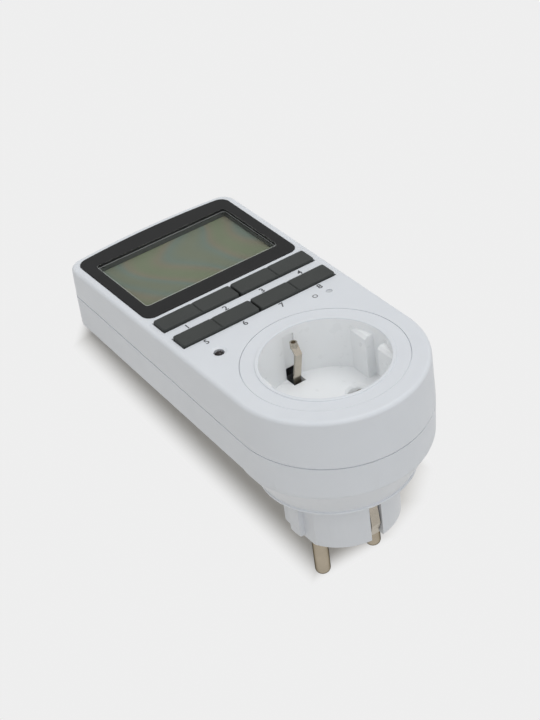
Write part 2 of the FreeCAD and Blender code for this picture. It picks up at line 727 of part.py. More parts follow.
# Lamp, reset button and the parts on the control board
def controls():
    lamp = Piece("indicator_led")
    place = (S.lamp_across, S.lamp_along)
    lamp.rod(place, (-6.2, -5.2), 1.9)
    lamp.rod(place, (-6.2, -1.6), 1.5)
    ball = lamp.primitive("Sphere", False, (S.lamp_across, S.lamp_along, -1.6))
    ball.Radius = 1.5
    leg = 0.25
    along = (S.lamp_along - leg, S.lamp_along + leg)
    for way in (-1, 1):
        across = S.lamp_across + way * 1.0
        lamp.box((across - leg, across + leg), along, (board_back - 0.6, -6.0))

    button = Piece("reset_button")
    place = (S.reset_across, S.reset_along)
    button.rod(place, (-3.2, -0.3), S.reset_hole - 0.08)
    button.rod(place, (-3.3, -2.4), 1.7)
    button.rod(place, (-4.5, -3.2), 0.8)
    switch = Piece("reset_switch")
    across = (S.reset_across - 2.2, S.reset_across + 2.2)
    switch.box(across, (S.reset_along - 2.2, S.reset_along + 2.2), (board_front, board_front + 1.9))
    switch.rod(place, (board_front, -4.5 - S.reset_travel), 1.1)

    board = Piece("control_board")
    board.box((-S.board_half, S.board_half), (S.board_low, S.board_high), (board_back, board_front))
    for across, along in case_screws_at:
        board.rod((across, along), (board_back - 1, board_front + 1), S.post_radius + 0.4, cut=True)
    for side in (-1, 1):
        for along in board_screw_rows:
            board.rod((side * board_screw_across, along), (board_back - 1, board_front + 1), 1.1, cut=True)
        across = S.lamp_across + side * 1.0
        board.rod((across, S.lamp_along), (board_back - 1, board_front + 1), 0.45, cut=True)

    screws = Piece("board_screws")
    for side in (-1, 1):
        for along in board_screw_rows:
            place = (side * board_screw_across, along)
            screws.rod(place, (board_back - 1.2, board_back), 1.9)
            screws.rod(place, (board_back - 0.1, -3.4), 0.85)
            screws.cross(place, (board_back - 2, board_back - 0.6), 1.3, 0.2)

    chip = Piece("control_chip")
    chip.box((-4.0, 8.0), (30.0, 42.0), (board_back - 1.3, board_back))
    chip.rod((-2.6, 40.6), (board_back - 2, board_back - 1.15), 0.5, cut=True)
    crystal = Piece("clock_crystal")
    crystal.rod((33.5, board_back - 1.3), (11.0, 18.6), 1.3, axis="x")
    link = Piece("board_link")
    link.box((8.0, 22.0), (83.2, 85.6), (power_front, power_front + 2.4))
    for index in range(5):
        across = 9.7 + 2.54 * index
        link.box((across - 0.32, across + 0.32), (84.08, 84.72), (power_front + 2.3, board_back))


# Socket: the well, its shutter and its earth clips
def socket():
    cup = Piece("socket_cup")
    cup.rod((0, 0), (cup_bottom, 0), cup_outer)
    cup.rod((0, 0), (-S.flange_thick, 0), S.well_flange)
    cup.rod((0, 0), (-S.flange_thick, S.bead_rise), S.well_rim)
    cup.rod((0, 0), (-S.well_depth, 1), S.well_radius, cut=True)
    cup.dress("Fillet", S.bead_rise * 0.9, at_level(S.bead_rise.value))
    for side in (-1, 1):
        for way in (-1, 1):
            across = span(side * S.guide_flat, side * (S.well_radius + 0.3))
            along = span(way * S.guide_notch, way * 10.6)
            cup.box(across, along, (-S.well_depth - 0.5, -S.guide_top))

    def guide_tops(edge):
        middle = edge.CenterOfMass
        flat = abs(abs(middle.x) - S.guide_flat.value) < 0.01
        return flat and abs(middle.z + S.guide_top.value) < 0.01

    cup.dress("Chamfer", 0.9, guide_tops)
    ring = cup.sketch(deep=cup_bottom - 1)
    circle(ring, 0, 0, cup_outer)
    circle(ring, 0, 0, S.well_flange + 10)
    cup.pocket(ring, S.well_depth + S.cup_floor + 1 - S.flange_thick, up=True)

    def flange_edge(edge):
        curve = edge.Curve
        round_edge = hasattr(curve, "Radius") and abs(curve.Radius - S.well_flange.value) < 0.01
        return round_edge and abs(edge.CenterOfMass.z) < 0.01

    cup.dress("Chamfer", 0.22, flange_edge)
    for side in (-1, 1):
        cup.rod((side * half_pitch, 0), (cup_bottom - 1, 1 - S.well_depth), S.pin_hole, cut=True)
        lead = (-S.well_depth - 0.7, -S.well_depth)
        cup.cone((side * half_pitch, 0), lead, (S.pin_hole, S.pin_hole + 0.7), cut=True)
    slot = 2.05
    for way in (-1, 1):
        along = span(way * 15.0, way * (cup_outer + 1))
        cup.box((-slot, slot), along, (cup_bottom - 1, -S.well_depth + 3.3), cut=True)
        along = span(way * 17.0, way * (S.well_radius + 0.6))
        cup.box((-slot, slot), along, (-S.well_depth, -2.1), cut=True)
        cup.rod((0, way * 10.3), (cup_bottom - 2.8, cup_bottom + 0.5), 1.0)
    cup.rod((0, 0), (cup_bottom - 1.5, cup_bottom + 0.5), 1.9)

    shutter = Piece("shutter")
    top = cup_bottom - 0.2
    shutter.box((-12.6, 12.6), (-S.pin_hole - 0.3, S.pin_hole + 0.3), (top - 1.2, top))
    shutter.rod((0, 0), (top - 1.2, top), 4.4)
    shutter.rod((0, 0), (top - 2, top + 1), 1.98, cut=True)
    for way in (-1, 1):
        shutter.rod((way * half_pitch, way * -2.2), (top - 1.2, top), 1.4)

    cover = Piece("shutter_cover")
    cover.box((-14.8, 14.8), (-12.0, 12.0), (cup_bottom - 2.8, cup_bottom - 0.05))
    cover.box((-13.7, 13.7), (-10.9, 10.9), (cup_bottom - 1.6, cup_bottom + 1), cut=True)
    for way in (-1, 1):
        cover.rod((way * half_pitch, 0), (cup_bottom - 4, cup_bottom), S.pin_hole, cut=True)
        along = span(way * 9.0, way * 11.4)
        cover.box((-1.8, 1.8), along, (cup_bottom - 2.0, cup_bottom - 0.05))
        cover.rod((0, way * 10.3), (cup_bottom - 4, cup_bottom + 1), 1.08, cut=True)
    cover.rod((0, 0), (cup_bottom - 4, cup_bottom), 1.0, cut=True)

    spring = Piece("shutter_spring")
    strip = spring.sketch(deep=cup_bottom - 1.2)
    path = [(-13.6, -9.6), (-11.6, -9.6), (-6.4, -3.55)]
    back = [(-6.4, -3.85), (-11.5, -9.8), (-13.6, -9.8)]
    polygon(strip, path + back)
    spring.pad(strip, 0.8)

    clips = Piece("earth_clips")
    bar_top = cup_bottom - 3.0
    thick = 0.7
    foot = 16.9
    shape = clips.sketch("YZ")
    outer = [(foot, bar_top - 0.8), (foot, -16.4), (14.7, -6.4), (16.3, -4.0)]
    inner = [(15.7, -3.7), (13.9, -6.4), (foot - thick, -16.3), (foot - thick, bar_top)]
    right = outer + inner
    left = [(-along, deep) for along, deep in reversed(right)]
    polygon(shape, right + left)
    clips.pad(shape, S.clip_half * 2, both=True)
    # each clip's end is rolled to a small open eye
    for way in (-1, 1):
        clips.rod((0, way * 16.1), (-5.0, -3.0), S.clip_half)
        clips.rod((0, way * 16.1), (-4.2, -2.0), S.clip_half - 0.4, cut=True)

    link = Piece("earth_link")
    base = strip_top
    link.box((-1.3, 1.3), (12.0, 12.7), (base, bar_top - 0.8))
    link.box((-1.3, 1.3), (9.0, 12.7), (base, base + 0.6))
    link.box((-1.3, 1.3), (9.0, 12.7), (bar_top - 1.4, bar_top - 0.8))


# Plug: its body, its pins, their clamp and the earth strip
def plug():
    body = Piece("plug_body")
    seat = -(S.boss_depth - S.boss_floor)
    face = -S.plug_depth
    body.cone((0, 0), (face, seat), (S.plug_radius - 0.25, S.plug_radius))
    body.dress("Fillet", 0.6, at_level(-S.plug_depth.value))
    body.rod((0, 0), (seat, seat + 2), S.boss_radius - S.boss_floor - 1.2)
    for side in (-1, 1):
        for way in (-1, 1):
            across = span(side * S.plug_flat, side * (S.plug_radius + 2))
            along = span(way * S.rib_half, way * (S.plug_radius + 2))
            body.box(across, along, (face - 1, -S.boss_depth - 0.2), cut=True)
        body.box(span(side * S.plug_flat, side * (S.plug_radius + 2)),
                 (-S.plug_radius, S.plug_radius), (face - 1, face + 1.1), cut=True)
    recess = S.plug_radius - S.recess_depth
    for way in (-1, 1):
        along = span(way * recess, way * (S.plug_radius + 2))
        body.box((-S.recess_half, S.recess_half), along, (face - 1, -S.boss_depth - 0.2), cut=True)
    body.rod((0, 0), (face + S.plug_wall, seat + 3), recess - 1.2, cut=True)
    for side in (-1, 1):
        body.rod((side * half_pitch, 0), (face + 1, pin_seat), 4.2)
    body.rod((0, 0), (face + 1, pin_seat + 1.0), 3.0)
    for side in (-1, 1):
        place = (side * half_pitch, 0)
        body.rod(place, (face - 1, pin_seat + 2), S.pin_neck + S.pin_slide, cut=True)
        body.rod(place, (face - 1, face + S.pin_relief), S.pin_radius + S.pin_slide, cut=True)
    body.rod((0, 0), (face + 4, pin_seat + 2), 1.33, cut=True)
    slit = strip_half + S.fit_gap
    for way in (-1, 1):
        along = span(way * (recess + 0.2), way * (recess + 1.9))
        body.box((-slit, slit), along, (-S.boss_depth - 1, seat + 3), cut=True)

    tip = face - S.pin_length
    for side, word in ((-1, "left"), (1, "right")):
        pin = Piece(f"plug_pin_{word}")
        pin.rod((side * half_pitch, 0), (tip, face), S.pin_radius)
        pin.dress("Fillet", S.pin_tip, at_level(tip.value))
        pin.rod((side * half_pitch, 0), (face, pin_seat + 0.5), S.pin_neck)
        pin.rod((side * half_pitch, 0), (pin_seat, pin_seat + 1.0), 3.7)
        pin.rod((side * half_pitch, 0), (pin_seat + 0.9, pin_seat + 5.0), 1.5)

    clamp = Piece("pin_clamp")
    clamp_low = pin_seat + 1.0
    clamp.rod((0, 0), (clamp_low, clamp_low + 2.5), recess - 1.5)
    for side in (-1, 1):
        clamp.rod((side * half_pitch, 0), (clamp_low - 1, clamp_low + 4), 1.6, cut=True)
    clamp.rod((0, 0), (clamp_low - 1, clamp_low + 4), 1.5, cut=True)
    for way in (-1, 1):
        clamp.box((-4.0, 4.0), span(way * 8.0, way * 14.0), (clamp_low - 1, clamp_low + 4), cut=True)

    screw = Piece("clamp_screw")
    top = clamp_low + 2.5
    screw.rod((0, 0), (top, top + 1.5), 2.6)
    screw.rod((0, 0), (top - 10, top + 0.5), 1.3)
    screw.cross((0, 0), (top + 0.7, top + 2), 1.8, 0.3)

    strip = Piece("plug_earth_strip")
    shape = strip.sketch("YZ")
    bar = seat + 2.0
    leg = recess + 0.7
    outer = [(leg + 0.7, bar + 0.8), (leg + 0.7, -39.5), (leg + 1.9, face + 5.2), (leg + 0.5, face + 0.6)]
    inner = [(leg - 0.2, face + 0.8), (leg + 1.1, face + 5.3), (leg, -39.5), (leg, bar)]
    right = list(reversed(outer + inner))
    left = [(-along, deep) for along, deep in reversed(right)]
    polygon(shape, right + left)
    strip.pad(shape, strip_half * 2, both=True)


# Carrier, line contacts and wires between plug, boards and socket
def wiring():
    carrier = Piece("contact_carrier")
    seat = -(S.boss_depth - S.boss_floor) + 2
    top = carrier_top
    radius = S.boss_radius - S.boss_floor - 1.7
    carrier.rod((0, 0), (seat, top), radius)
    carrier.rod((0, 0), (seat - 1, top - 1.3), radius - 1.6, cut=True)
    slit = strip_half + S.fit_gap
    for way in (-1, 1):
        along = span(way * 12.0, way * (radius + 1))
        carrier.box((-slit, slit), along, (seat - 1, top - 1.3), cut=True)
    carrier.box((-slit, slit), (8.6, 13.1), (seat - 1, top + 1), cut=True)
    for side in (-1, 1):
        carrier.rod((side * half_pitch, wire_rise), (seat - 1, top + 1), 1.6, cut=True)

    for side, word in ((-1, "live"), (1, "neutral")):
        contact = Piece(f"{word}_contact")
        middle = side * half_pitch
        contact.box((middle - 3.6, middle + 3.6), (-3.4, 3.4), (top, cup_bottom - 3.2))
        contact.rod((middle, 0), (top + 0.8, cup_bottom), 2.45, cut=True)
        contact.box((middle - 0.5, middle + 0.5), (-4.0, 4.0), (top + 3.0, cup_bottom), cut=True)
        path = contact.sketch("YZ", deep=side * tab_across)
        level = power_back - 0.3
        outer = [(-3.0, top), (17.0, top), (17.0, level - 0.6), (31.0, level - 0.6)]
        inner = [(31.0, level), (16.4, level), (16.4, top + 0.6), (-3.0, top + 0.6)]
        polygon(path, outer + inner)
        contact.pad(path, 3.0, both=True)
        across = (side * tab_across - 0.5, side * tab_across + 0.5)
        contact.box(across, (30.2, 31.0), (level - 0.4, power_front + 0.8))
        across = span(middle + side * 3.4, side * Size.of(tab_across))
        contact.box(across, (-3.0, 3.0), (top, top + 0.6))

    start = pin_seat + 5.0
    for side, word in ((-1, "live"), (1, "neutral")):
        wire = Piece(f"{word}_wire")
        spine = wire.sketch("YZ", deep=side * half_pitch)
        turn = carrier_top - 3.3
        points = [(0, start), (0, turn), (wire_rise, turn), (wire_rise, carrier_top + 2.2),
                  (22.5, power_back - 1.2), (31.5, power_back - 1.2), (31.5, power_back)]
        plain = [Vector(number(along), number(deep), 0) for along, deep in points]
        for index, (first, second) in enumerate(zip(plain, plain[1:])):
            spine.addGeometry(Part.LineSegment(first, second), False)
            if index:
                spine.addConstraint(Sketcher.Constraint("Coincident", index - 1, 2, index, 1))
        for index, (along, deep) in enumerate(points[:-1]):
            pin_point(spine, index, 1, along, deep)
        pin_point(spine, len(points) - 2, 2, *points[-1])
        section = wire.sketch(deep=start)
        circle(section, side * half_pitch, 0, 1.1)
        doc.recompute()
        pipe = wire.body.newObject("PartDesign::AdditivePipe", wire.name("pipe"))
        pipe.Profile = section
        pipe.Spine = (spine, [f"Edge{index + 1}" for index in range(len(points) - 1)])
        pipe.Transition = "Round corner"
        doc.recompute()


# Power board and what stands on it
def power():
    board = Piece("power_board")
    board.box((-power_half, power_half), (28.6, S.board_high), (power_back, power_front))
    for across, along in case_screws_at:
        board.rod((across, along), (power_back - 1, power_front + 1), S.head_radius + 1.2, cut=True)
    for across, along in power_pads:
        board.rod((across, along), (power_back - 1, power_front + 1), 1.15, cut=True)
    for side in (-1, 1):
        across = (side * tab_across - 0.7, side * tab_across + 0.7)
        board.box(across, (30.0, 31.2), (power_back - 1, power_front + 1), cut=True)

    screws = Piece("power_board_screws")
    for across, along in power_pads:
        screws.rod((across, along), (power_front, power_front + 1.3), 1.9)
        screws.rod((across, along), (power_back - 1.8, power_front + 0.1), 0.95)
        screws.cross((across, along), (power_front + 0.7, power_front + 2), 1.3, 0.2)

    relay = Piece("relay")
    tall = 5.6
    relay.box((-parts_half, 20.4 - parts_half), (44.0, 59.4), (power_front, power_front + tall))
    relay.dress("Chamfer", 0.6, at_level(power_front.value + tall))
    film = Piece("film_capacitor")
    film.box((2.6, 20.6), (44.0, 51.6), (power_front, power_front + tall))
    film.dress("Fillet", 0.7, at_level(power_front.value + tall))
    can = Piece("electrolytic_capacitor")
    can.rod((58.0, power_front + 3.2), (4.0, 17.0), 3.2, axis="x")
    can.rod((58.0, power_front + 3.2), (16.9, 17.6), 2.8, axis="x")
    battery = Piece("backup_battery")
    middle = 11.0 - parts_half
    clip = (middle - 2.0, middle + 2.0)
    battery.rod((middle, 73.0), (power_front, power_front + 6.2), 7.8)
    battery.dress("Fillet", 0.8, at_level(power_front.value + 6.2))
    battery.box(clip, (64.0, 82.0), (power_front + 6.1, power_front + 6.5))
    for along in (64.0, 81.6):
        battery.box(clip, (along, along + 0.4), (power_front, power_front + 6.5))
    fuse = Piece("fuse")
    start = 4.0 - parts_half
    fuse.rod((38.6, power_front + 2.6), (start, start + 19.0), 2.3, axis="x")
    for begin in (start - 0.6, start + 14.0):
        fuse.rod((38.6, power_front + 2.6), (begin, begin + 5.6), 2.6, axis="x")
    varistor = Piece("varistor")
    varistor.rod((69.0, power_front + 3.2), (8.0, 12.0), 3.2, axis="x")
    varistor.dress("Fillet", 1.2, lambda edge: True)


def fasteners():
    screws = Piece("case_screws")
    for across, along in case_screws_at:
        seat = parting_at(along) - S.rear_depth + S.head_depth
        screws.rod((across, along), (seat - 1.6, seat), S.head_radius)
        screws.rod((across, along), (seat - 0.1, seat + 13.0), S.screw_radius)
        screws.cross((across, along), (seat - 3, seat - 0.9), 1.6, 0.3)


def cloud(piece, fineness=0.02):
    """Return points spread over a piece's surface, in the case's own frame."""
    return piece.body.Shape.tessellate(fineness)[0]


def lowest(points, tilt):
    """Return the lowest height of points once the display end is tilted down."""
    return min(point.z * math.cos(tilt) - point.y * math.sin(tilt) for point in points)


def rest_placement(pieces):
    """Find the placement that lays the timer on its pins and on its display end's lower edge."""
    named = {piece.label: piece for piece in pieces}
    pins = cloud(named["plug_pin_left"])
    shell = cloud(named["rear_cover"])
    low, high = math.radians(5), math.radians(60)
    while high - low > 1e-7:
        middle = (low + high) / 2
        if lowest(pins, middle) < lowest(shell, middle):
            low = middle
        else:
            high = middle
    turn = Rotation(Vector(1, 0, 0), -math.degrees(low))
    points = [turn.multVec(point) for piece in pieces for point in cloud(piece)]
    shift = Vector(
        -(min(point.x for point in points) + max(point.x for point in points)) / 2,
        -(min(point.y for point in points) + max(point.y for point in points)) / 2,
        -min(point.z for point in points))
    return Placement(shift, turn)


def check_document():
    """Stop when a feature failed or a piece has no sound solid."""
    for item in doc.Objects:
        if "Invalid" in item.State or "Error" in item.State:
            raise RuntimeError(f"{item.Name} failed: {item.State}")
    for piece in Piece.made:
        shape = piece.body.Shape
        if shape.isNull() or not shape.isValid() or not shape.Solids:
            raise RuntimeError(f"{piece.label} has no sound solid")


front_cover()
rear_cover()
display()
for row, low in row_lows.items():
    key(f"key_{row}_left", -1, low)
    key(f"key_{row}_right", 1, low)
keypad()
controls()
socket()
plug()
wiring()
power()
fasteners()
doc.recompute()
check_document()
placement = rest_placement(Piece.made)
for piece in Piece.made:
    piece.body.Placement = placement
doc.recompute()
check_document()
print("tilt", placement.Rotation.Angle * 180 / math.pi, "shift", placement.Base)

os.makedirs("parts", exist_ok=True)
for piece in Piece.made:
    piece.body.Shape.exportStep(f"parts/{piece.label}.step")
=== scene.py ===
"""Looks of a plug-in timer: finishes, boss bead, printed marks, board joints, studio and camera.

All pieces are described in the case's own frame, in millimetres: X runs across the face to the
right, Y along the face towards the display, Z out of the face, and the origin is the middle of
the socket well on the face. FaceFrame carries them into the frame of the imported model.
"""

from __future__ import annotations

import json
import logging
import math
from dataclasses import dataclass
from enum import Enum
from typing import Any, Callable, Iterable, Sequence

import bmesh
import bpy
from mathutils import Matrix, Vector

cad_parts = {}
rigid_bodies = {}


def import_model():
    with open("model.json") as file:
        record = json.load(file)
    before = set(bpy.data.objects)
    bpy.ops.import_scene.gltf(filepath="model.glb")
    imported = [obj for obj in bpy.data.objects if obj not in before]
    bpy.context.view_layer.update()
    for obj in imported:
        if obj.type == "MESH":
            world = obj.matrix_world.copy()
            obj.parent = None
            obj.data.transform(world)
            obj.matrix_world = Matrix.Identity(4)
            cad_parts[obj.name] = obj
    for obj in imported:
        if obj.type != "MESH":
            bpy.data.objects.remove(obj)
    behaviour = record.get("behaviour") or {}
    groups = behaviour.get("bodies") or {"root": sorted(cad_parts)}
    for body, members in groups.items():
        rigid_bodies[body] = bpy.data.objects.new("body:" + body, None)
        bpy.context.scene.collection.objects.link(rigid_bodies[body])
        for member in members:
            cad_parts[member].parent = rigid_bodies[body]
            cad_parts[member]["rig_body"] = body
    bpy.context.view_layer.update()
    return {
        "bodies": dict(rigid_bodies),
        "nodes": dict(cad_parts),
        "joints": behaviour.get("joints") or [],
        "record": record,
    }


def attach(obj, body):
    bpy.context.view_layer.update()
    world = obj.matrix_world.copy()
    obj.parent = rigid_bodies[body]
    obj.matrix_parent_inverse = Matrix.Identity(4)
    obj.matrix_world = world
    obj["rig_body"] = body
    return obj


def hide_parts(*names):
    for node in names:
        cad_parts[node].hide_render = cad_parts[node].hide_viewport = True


LOG = logging.getLogger("plug_in_timer")
MM = 0.001

Colour = tuple[float, float, float]
Frame = dict[str, Any]
Tree = bpy.types.NodeTree
Output = bpy.types.NodeSocket

# Patterns that all finishes share: sizes in millimetres, and the finer layers of their noise
TINT_PATCH, TINT_LAYERS = 9.0, 3.0
GLOSS_PATCH, GLOSS_LAYERS = 4.0, 4.0
RELIEF_LAYERS = 2.0
NOISE_LOW, NOISE_HIGH = 0.3, 0.7
GLOSS_SPREAD = 0.12
DRAWN_OUT = (0.06, 1.0, 1.0)
COAT_ROUGHNESS = 0.06
SCATTER_TINT, SCATTER_DEPTH = (1.0, 0.95, 0.9), 0.8
# Welding and flattening of the CAD meshes, in metres and degrees
WELD_GAP, FLAT_ANGLE = 2e-6, 0.4


class Grain(Enum):
    """The pattern that a finish has besides its soft changes of tint, gloss and height."""

    PLAIN = "none of its own"
    DRAWN = "drawn or stamped metal"
    # The liquid crystal's pattern is a painted sheen of rainbow bands.
    LIQUID = "liquid crystal behind glass"
    BOARD = "solder mask over tracks"


class Shade(Enum):
    """The studio's plain tones."""

    # The floor's own tone, seen by the camera only in the patch by the object, where its darkness
    # against the backdrop is a painted shadow.
    FLOOR = (0.63, 0.605, 0.565)
    BACKDROP = (0.858, 0.858, 0.858)
    DUSK = (0.16, 0.155, 0.15)


def opaque(colour: Colour) -> tuple[float, float, float, float]:
    """Add a full alpha to a colour."""
    return (*colour, 1.0)


def add_node(tree: Tree, kind: str, inputs: dict[str | int, Any],
             **settings: Any) -> bpy.types.Node:
    """Add a node to a tree.

    Args:
        tree: The node tree.
        kind: The node's type.
        inputs: For each input, by name or number, a plain value or the socket that feeds it.
        settings: The node's own settings.

    Returns:
        The node.
    """
    node = tree.nodes.new(kind)
    for name, value in settings.items():
        setattr(node, name, value)
    for name, value in inputs.items():
        if isinstance(value, bpy.types.NodeSocket):
            tree.links.new(value, node.inputs[name])
        else:
            node.inputs[name].default_value = value
    return node


def arithmetic(tree: Tree, operation: str, first: Any, second: Any) -> Output:
    """Work out a sum, product or the like of two sockets or numbers."""
    inputs = {0: first, 1: second}
    return add_node(tree, "ShaderNodeMath", inputs, operation=operation).outputs["Value"]


def blended(tree: Tree, share: Any, first: Any, second: Any) -> Output:
    """Mix two colours, where a share of 0 gives the first and 1 the second."""
    inputs = {"Factor": share, "A": first, "B": second}
    return add_node(tree, "ShaderNodeMix", inputs, data_type="RGBA").outputs["Result"]


def noise(tree: Tree, place: Output, size: float, layers: float) -> Output:
    """Add a noise pattern.

    Args:
        tree: The material's node tree.
        place: The coordinates to read.
        size: Size of the grains in millimetres.
        layers: Number of finer layers.

    Returns:
        The pattern's value socket.
    """
    inputs = {"Scale": 1.0 / (size * MM), "Detail": layers, "Vector": place}
    return add_node(tree, "ShaderNodeTexNoise", inputs).outputs["Fac"]


def ranged(tree: Tree, value: Output, low: float, high: float) -> Output:
    """Bring the middle part of a noise pattern to a range.

    Args:
        tree: The material's node tree.
        value: The pattern.
        low: Value where the pattern is darkest.
        high: Value where it is lightest.

    Returns:
        The socket with the new range.
    """
    inputs = {"From Min": NOISE_LOW, "From Max": NOISE_HIGH, "To Min": low, "To Max": high,
              "Value": value}
    return add_node(tree, "ShaderNodeMapRange", inputs).outputs["Result"]


@dataclass(frozen=True)
class PaintedSheenBands:
    """Faint rainbow bands laid over the display's colour: a painted sheen."""

    scale: float = 13.0
    distortion: float = 5.0
    detail: float = 0.5
    detail_scale: float = 2.6
    share: float = 0.25
    first: Colour = (0.27, 0.32, 0.17)
    between: tuple[tuple[float, Colour], ...] = (
        (0.34, (0.40, 0.27, 0.22)), (0.68, (0.19, 0.31, 0.35)))
    last: Colour = (0.26, 0.28, 0.22)

    def over(self, tree: Tree, place: Output, colour: Output) -> Output:
        """Lay the painted sheen bands over a colour."""
        inputs = {"Scale": self.scale, "Distortion": self.distortion, "Detail": self.detail,
                  "Detail Scale": self.detail_scale, "Vector": place}
        waves = add_node(tree, "ShaderNodeTexWave", inputs)
        ramp = add_node(tree, "ShaderNodeValToRGB", {"Fac": waves.outputs["Fac"]})
        stops = ramp.color_ramp.elements
        stops[0].color, stops[1].color = opaque(self.first), opaque(self.last)
        for position, shade in self.between:
            stops.new(position).color = opaque(shade)
        return blended(tree, self.share, colour, ramp.outputs["Color"])


@dataclass(frozen=True)
class Tracks:
    """Copper tracks that show as lighter lanes through the solder mask."""

    scale: float = 90.0
    width: float = 0.03
    share_beside: float = 0.02
    share_on: float = 0.6
    copper: Colour = (0.16, 0.34, 0.14)

    def over(self, tree: Tree, place: Output, colour: Output) -> Output:
        """Lay the tracks over a colour."""
        beside, on = (opaque((share,) * 3) for share in (self.share_beside, self.share_on))
        inputs = {"Scale": self.scale, "Mortar Size": self.width, "Color1": beside,
                  "Color2": beside, "Mortar": on, "Vector": place}
        lanes = add_node(tree, "ShaderNodeTexBrick", inputs)
        return blended(tree, lanes.outputs["Color"], colour, opaque(self.copper))


@dataclass(frozen=True)
class Finish:
    """One finish of the timer, turned into a procedural material.

    Sizes of the grain are in millimetres and are read in Object coordinates, so a pattern
    stays where it is on its piece.
    """

    name: str
    colour: Colour
    roughness: float
    grain: Grain = Grain.PLAIN
    metallic: float = 0.0
    mottle: float = 0.025
    pitch: float = 0.35
    relief: float = 0.004
    specular: float = 0.5
    coat: float = 0.0
    alpha: float = 1.0
    scatter: float = 0.0
    grazing: float = 1.0

    def build(self) -> bpy.types.Material:
        """Make the material's node tree.

        Returns:
            The finished material.
        """
        material = bpy.data.materials.new(self.name)
        material.use_nodes = True
        tree = material.node_tree
        shader = tree.nodes["Principled BSDF"]
        place = tree.nodes.new("ShaderNodeTexCoord").outputs["Object"]
        if self.grain is Grain.DRAWN:
            stretched = add_node(tree, "ShaderNodeMapping", {"Scale": DRAWN_OUT, "Vector": place})
            place = stretched.outputs["Vector"]
        values = {"Base Color": opaque(self.colour), "Roughness": self.roughness,
                  "Metallic": self.metallic, "Specular IOR Level": self.specular,
                  "Specular Tint": opaque((self.grazing,) * 3), "Coat Weight": self.coat,
                  "Coat Roughness": COAT_ROUGHNESS, "Alpha": self.alpha}
        if self.scatter > 0:
            values |= {"Subsurface Weight": self.scatter, "Subsurface Radius": SCATTER_TINT,
                       "Subsurface Scale": SCATTER_DEPTH * MM}
        for name, value in values.items():
            shader.inputs[name].default_value = value
        tree.links.new(self._tint(tree, place), shader.inputs["Base Color"])
        tree.links.new(self._polish(tree, place), shader.inputs["Roughness"])
        if self.relief > 0:
            tree.links.new(self._raise(tree, place), shader.inputs["Normal"])
        return material

    def _tint(self, tree: Tree, place: Output) -> Output:
        """Vary the colour softly, and by the grain's own pattern where it has one."""
        slow = ranged(tree, noise(tree, place, TINT_PATCH, TINT_LAYERS), 0.0, 1.0)
        darker = tuple(channel * (1.0 - self.mottle) for channel in self.colour)
        lighter = tuple(min(1.0, channel * (1.0 + self.mottle)) for channel in self.colour)
        colour = blended(tree, slow, opaque(darker), opaque(lighter))
        # For liquid crystal, rainbow bands are laid over the colour as a painted sheen.
        if self.grain is Grain.LIQUID:
            colour = PaintedSheenBands().over(tree, place, colour)
        if self.grain is Grain.BOARD:
            colour = Tracks().over(tree, place, colour)
        return colour

    def _polish(self, tree: Tree, place: Output) -> Output:
        """Vary the gloss, as handling and the mould do."""
        patch = noise(tree, place, GLOSS_PATCH, GLOSS_LAYERS)
        spread = GLOSS_SPREAD * self.roughness
        return ranged(tree, patch, self.roughness - spread, min(1.0, self.roughness + spread))

    def _raise(self, tree: Tree, place: Output) -> Output:
        """Give the surface its fine relief."""
        height = noise(tree, place, self.pitch, RELIEF_LAYERS)
        inputs = {"Strength": 1.0, "Distance": self.relief * MM, "Height": height}
        return add_node(tree, "ShaderNodeBump", inputs).outputs["Normal"]


WHITE_ABS = Finish("white_abs", (0.775, 0.80, 0.835), 0.42, relief=0.004, mottle=0.010,
                   scatter=0.12, specular=0.35)
# Inside of the socket well: the same white plastic, glossier, and a lighter white that is painted
# light.
WELL_WHITE_PAINTED_LIGHT = Finish("well_white_painted_light_abs", (0.93, 0.945, 0.955), 0.30, mottle=0.004, relief=0.0,
                     scatter=0.15, specular=0.35)
PLUG_WHITE = Finish("plug_white", (0.75, 0.77, 0.80), 0.36, mottle=0.012, relief=0.003,
                    scatter=0.1, specular=0.35)
BEZEL_GREY = Finish("bezel_grey", (0.017, 0.0174, 0.018), 0.36, relief=0.002, mottle=0.05,
                    specular=0.2)
# A lighter grey than the bezel on the walls of its hole below the window: painted light.
HOLE_WALL_PAINTED_LIGHT_GREY = Finish("hole_wall_painted_light_grey", (0.11, 0.118, 0.112), 0.5, relief=0.002, mottle=0.05,
                    specular=0.3)
KEY_GREY = Finish("key_grey", (0.051, 0.055, 0.053), 0.50, mottle=0.05, relief=0.004,
                  specular=0.25)
LCD = Finish("liquid_crystal", (0.240, 0.270, 0.200), 0.6, Grain.LIQUID, mottle=0.03,
             relief=0.0, specular=0.0)
WINDOW = Finish("clear_window", (0.06, 0.065, 0.06), 0.05, mottle=0.01, relief=0.0, alpha=0.06)
# Lighter, more opaque finish for the window's broken edges: a painted highlight.
WINDOW_EDGE_PAINTED_HIGHLIGHT = Finish("window_edge", (0.70, 0.72, 0.71), 0.25, mottle=0.02, relief=0.0,
                     alpha=0.35)
LENS = Finish("lamp_lens", (0.017, 0.012, 0.012), 0.12, mottle=0.05, relief=0.0, specular=0.35)
BUTTON = Finish("button_grey", (0.62, 0.64, 0.66), 0.4, mottle=0.02)
INK = Finish("printed_ink", (0.075, 0.078, 0.085), 0.55, mottle=0.08, pitch=0.12, relief=0.002)
PALE_INK = Finish("pale_ink", (0.20, 0.205, 0.215), 0.55, mottle=0.08, pitch=0.12, relief=0.002)
NICKEL = Finish("nickel_plate", (0.42, 0.365, 0.285), 0.16, metallic=1.0, mottle=0.12,
                pitch=0.5, relief=0.003, grazing=0.15)
CLIP_NICKEL = Finish("clip_nickel", (0.50, 0.455, 0.385), 0.2, Grain.DRAWN, metallic=1.0,
                     mottle=0.1, pitch=0.3, relief=0.003)
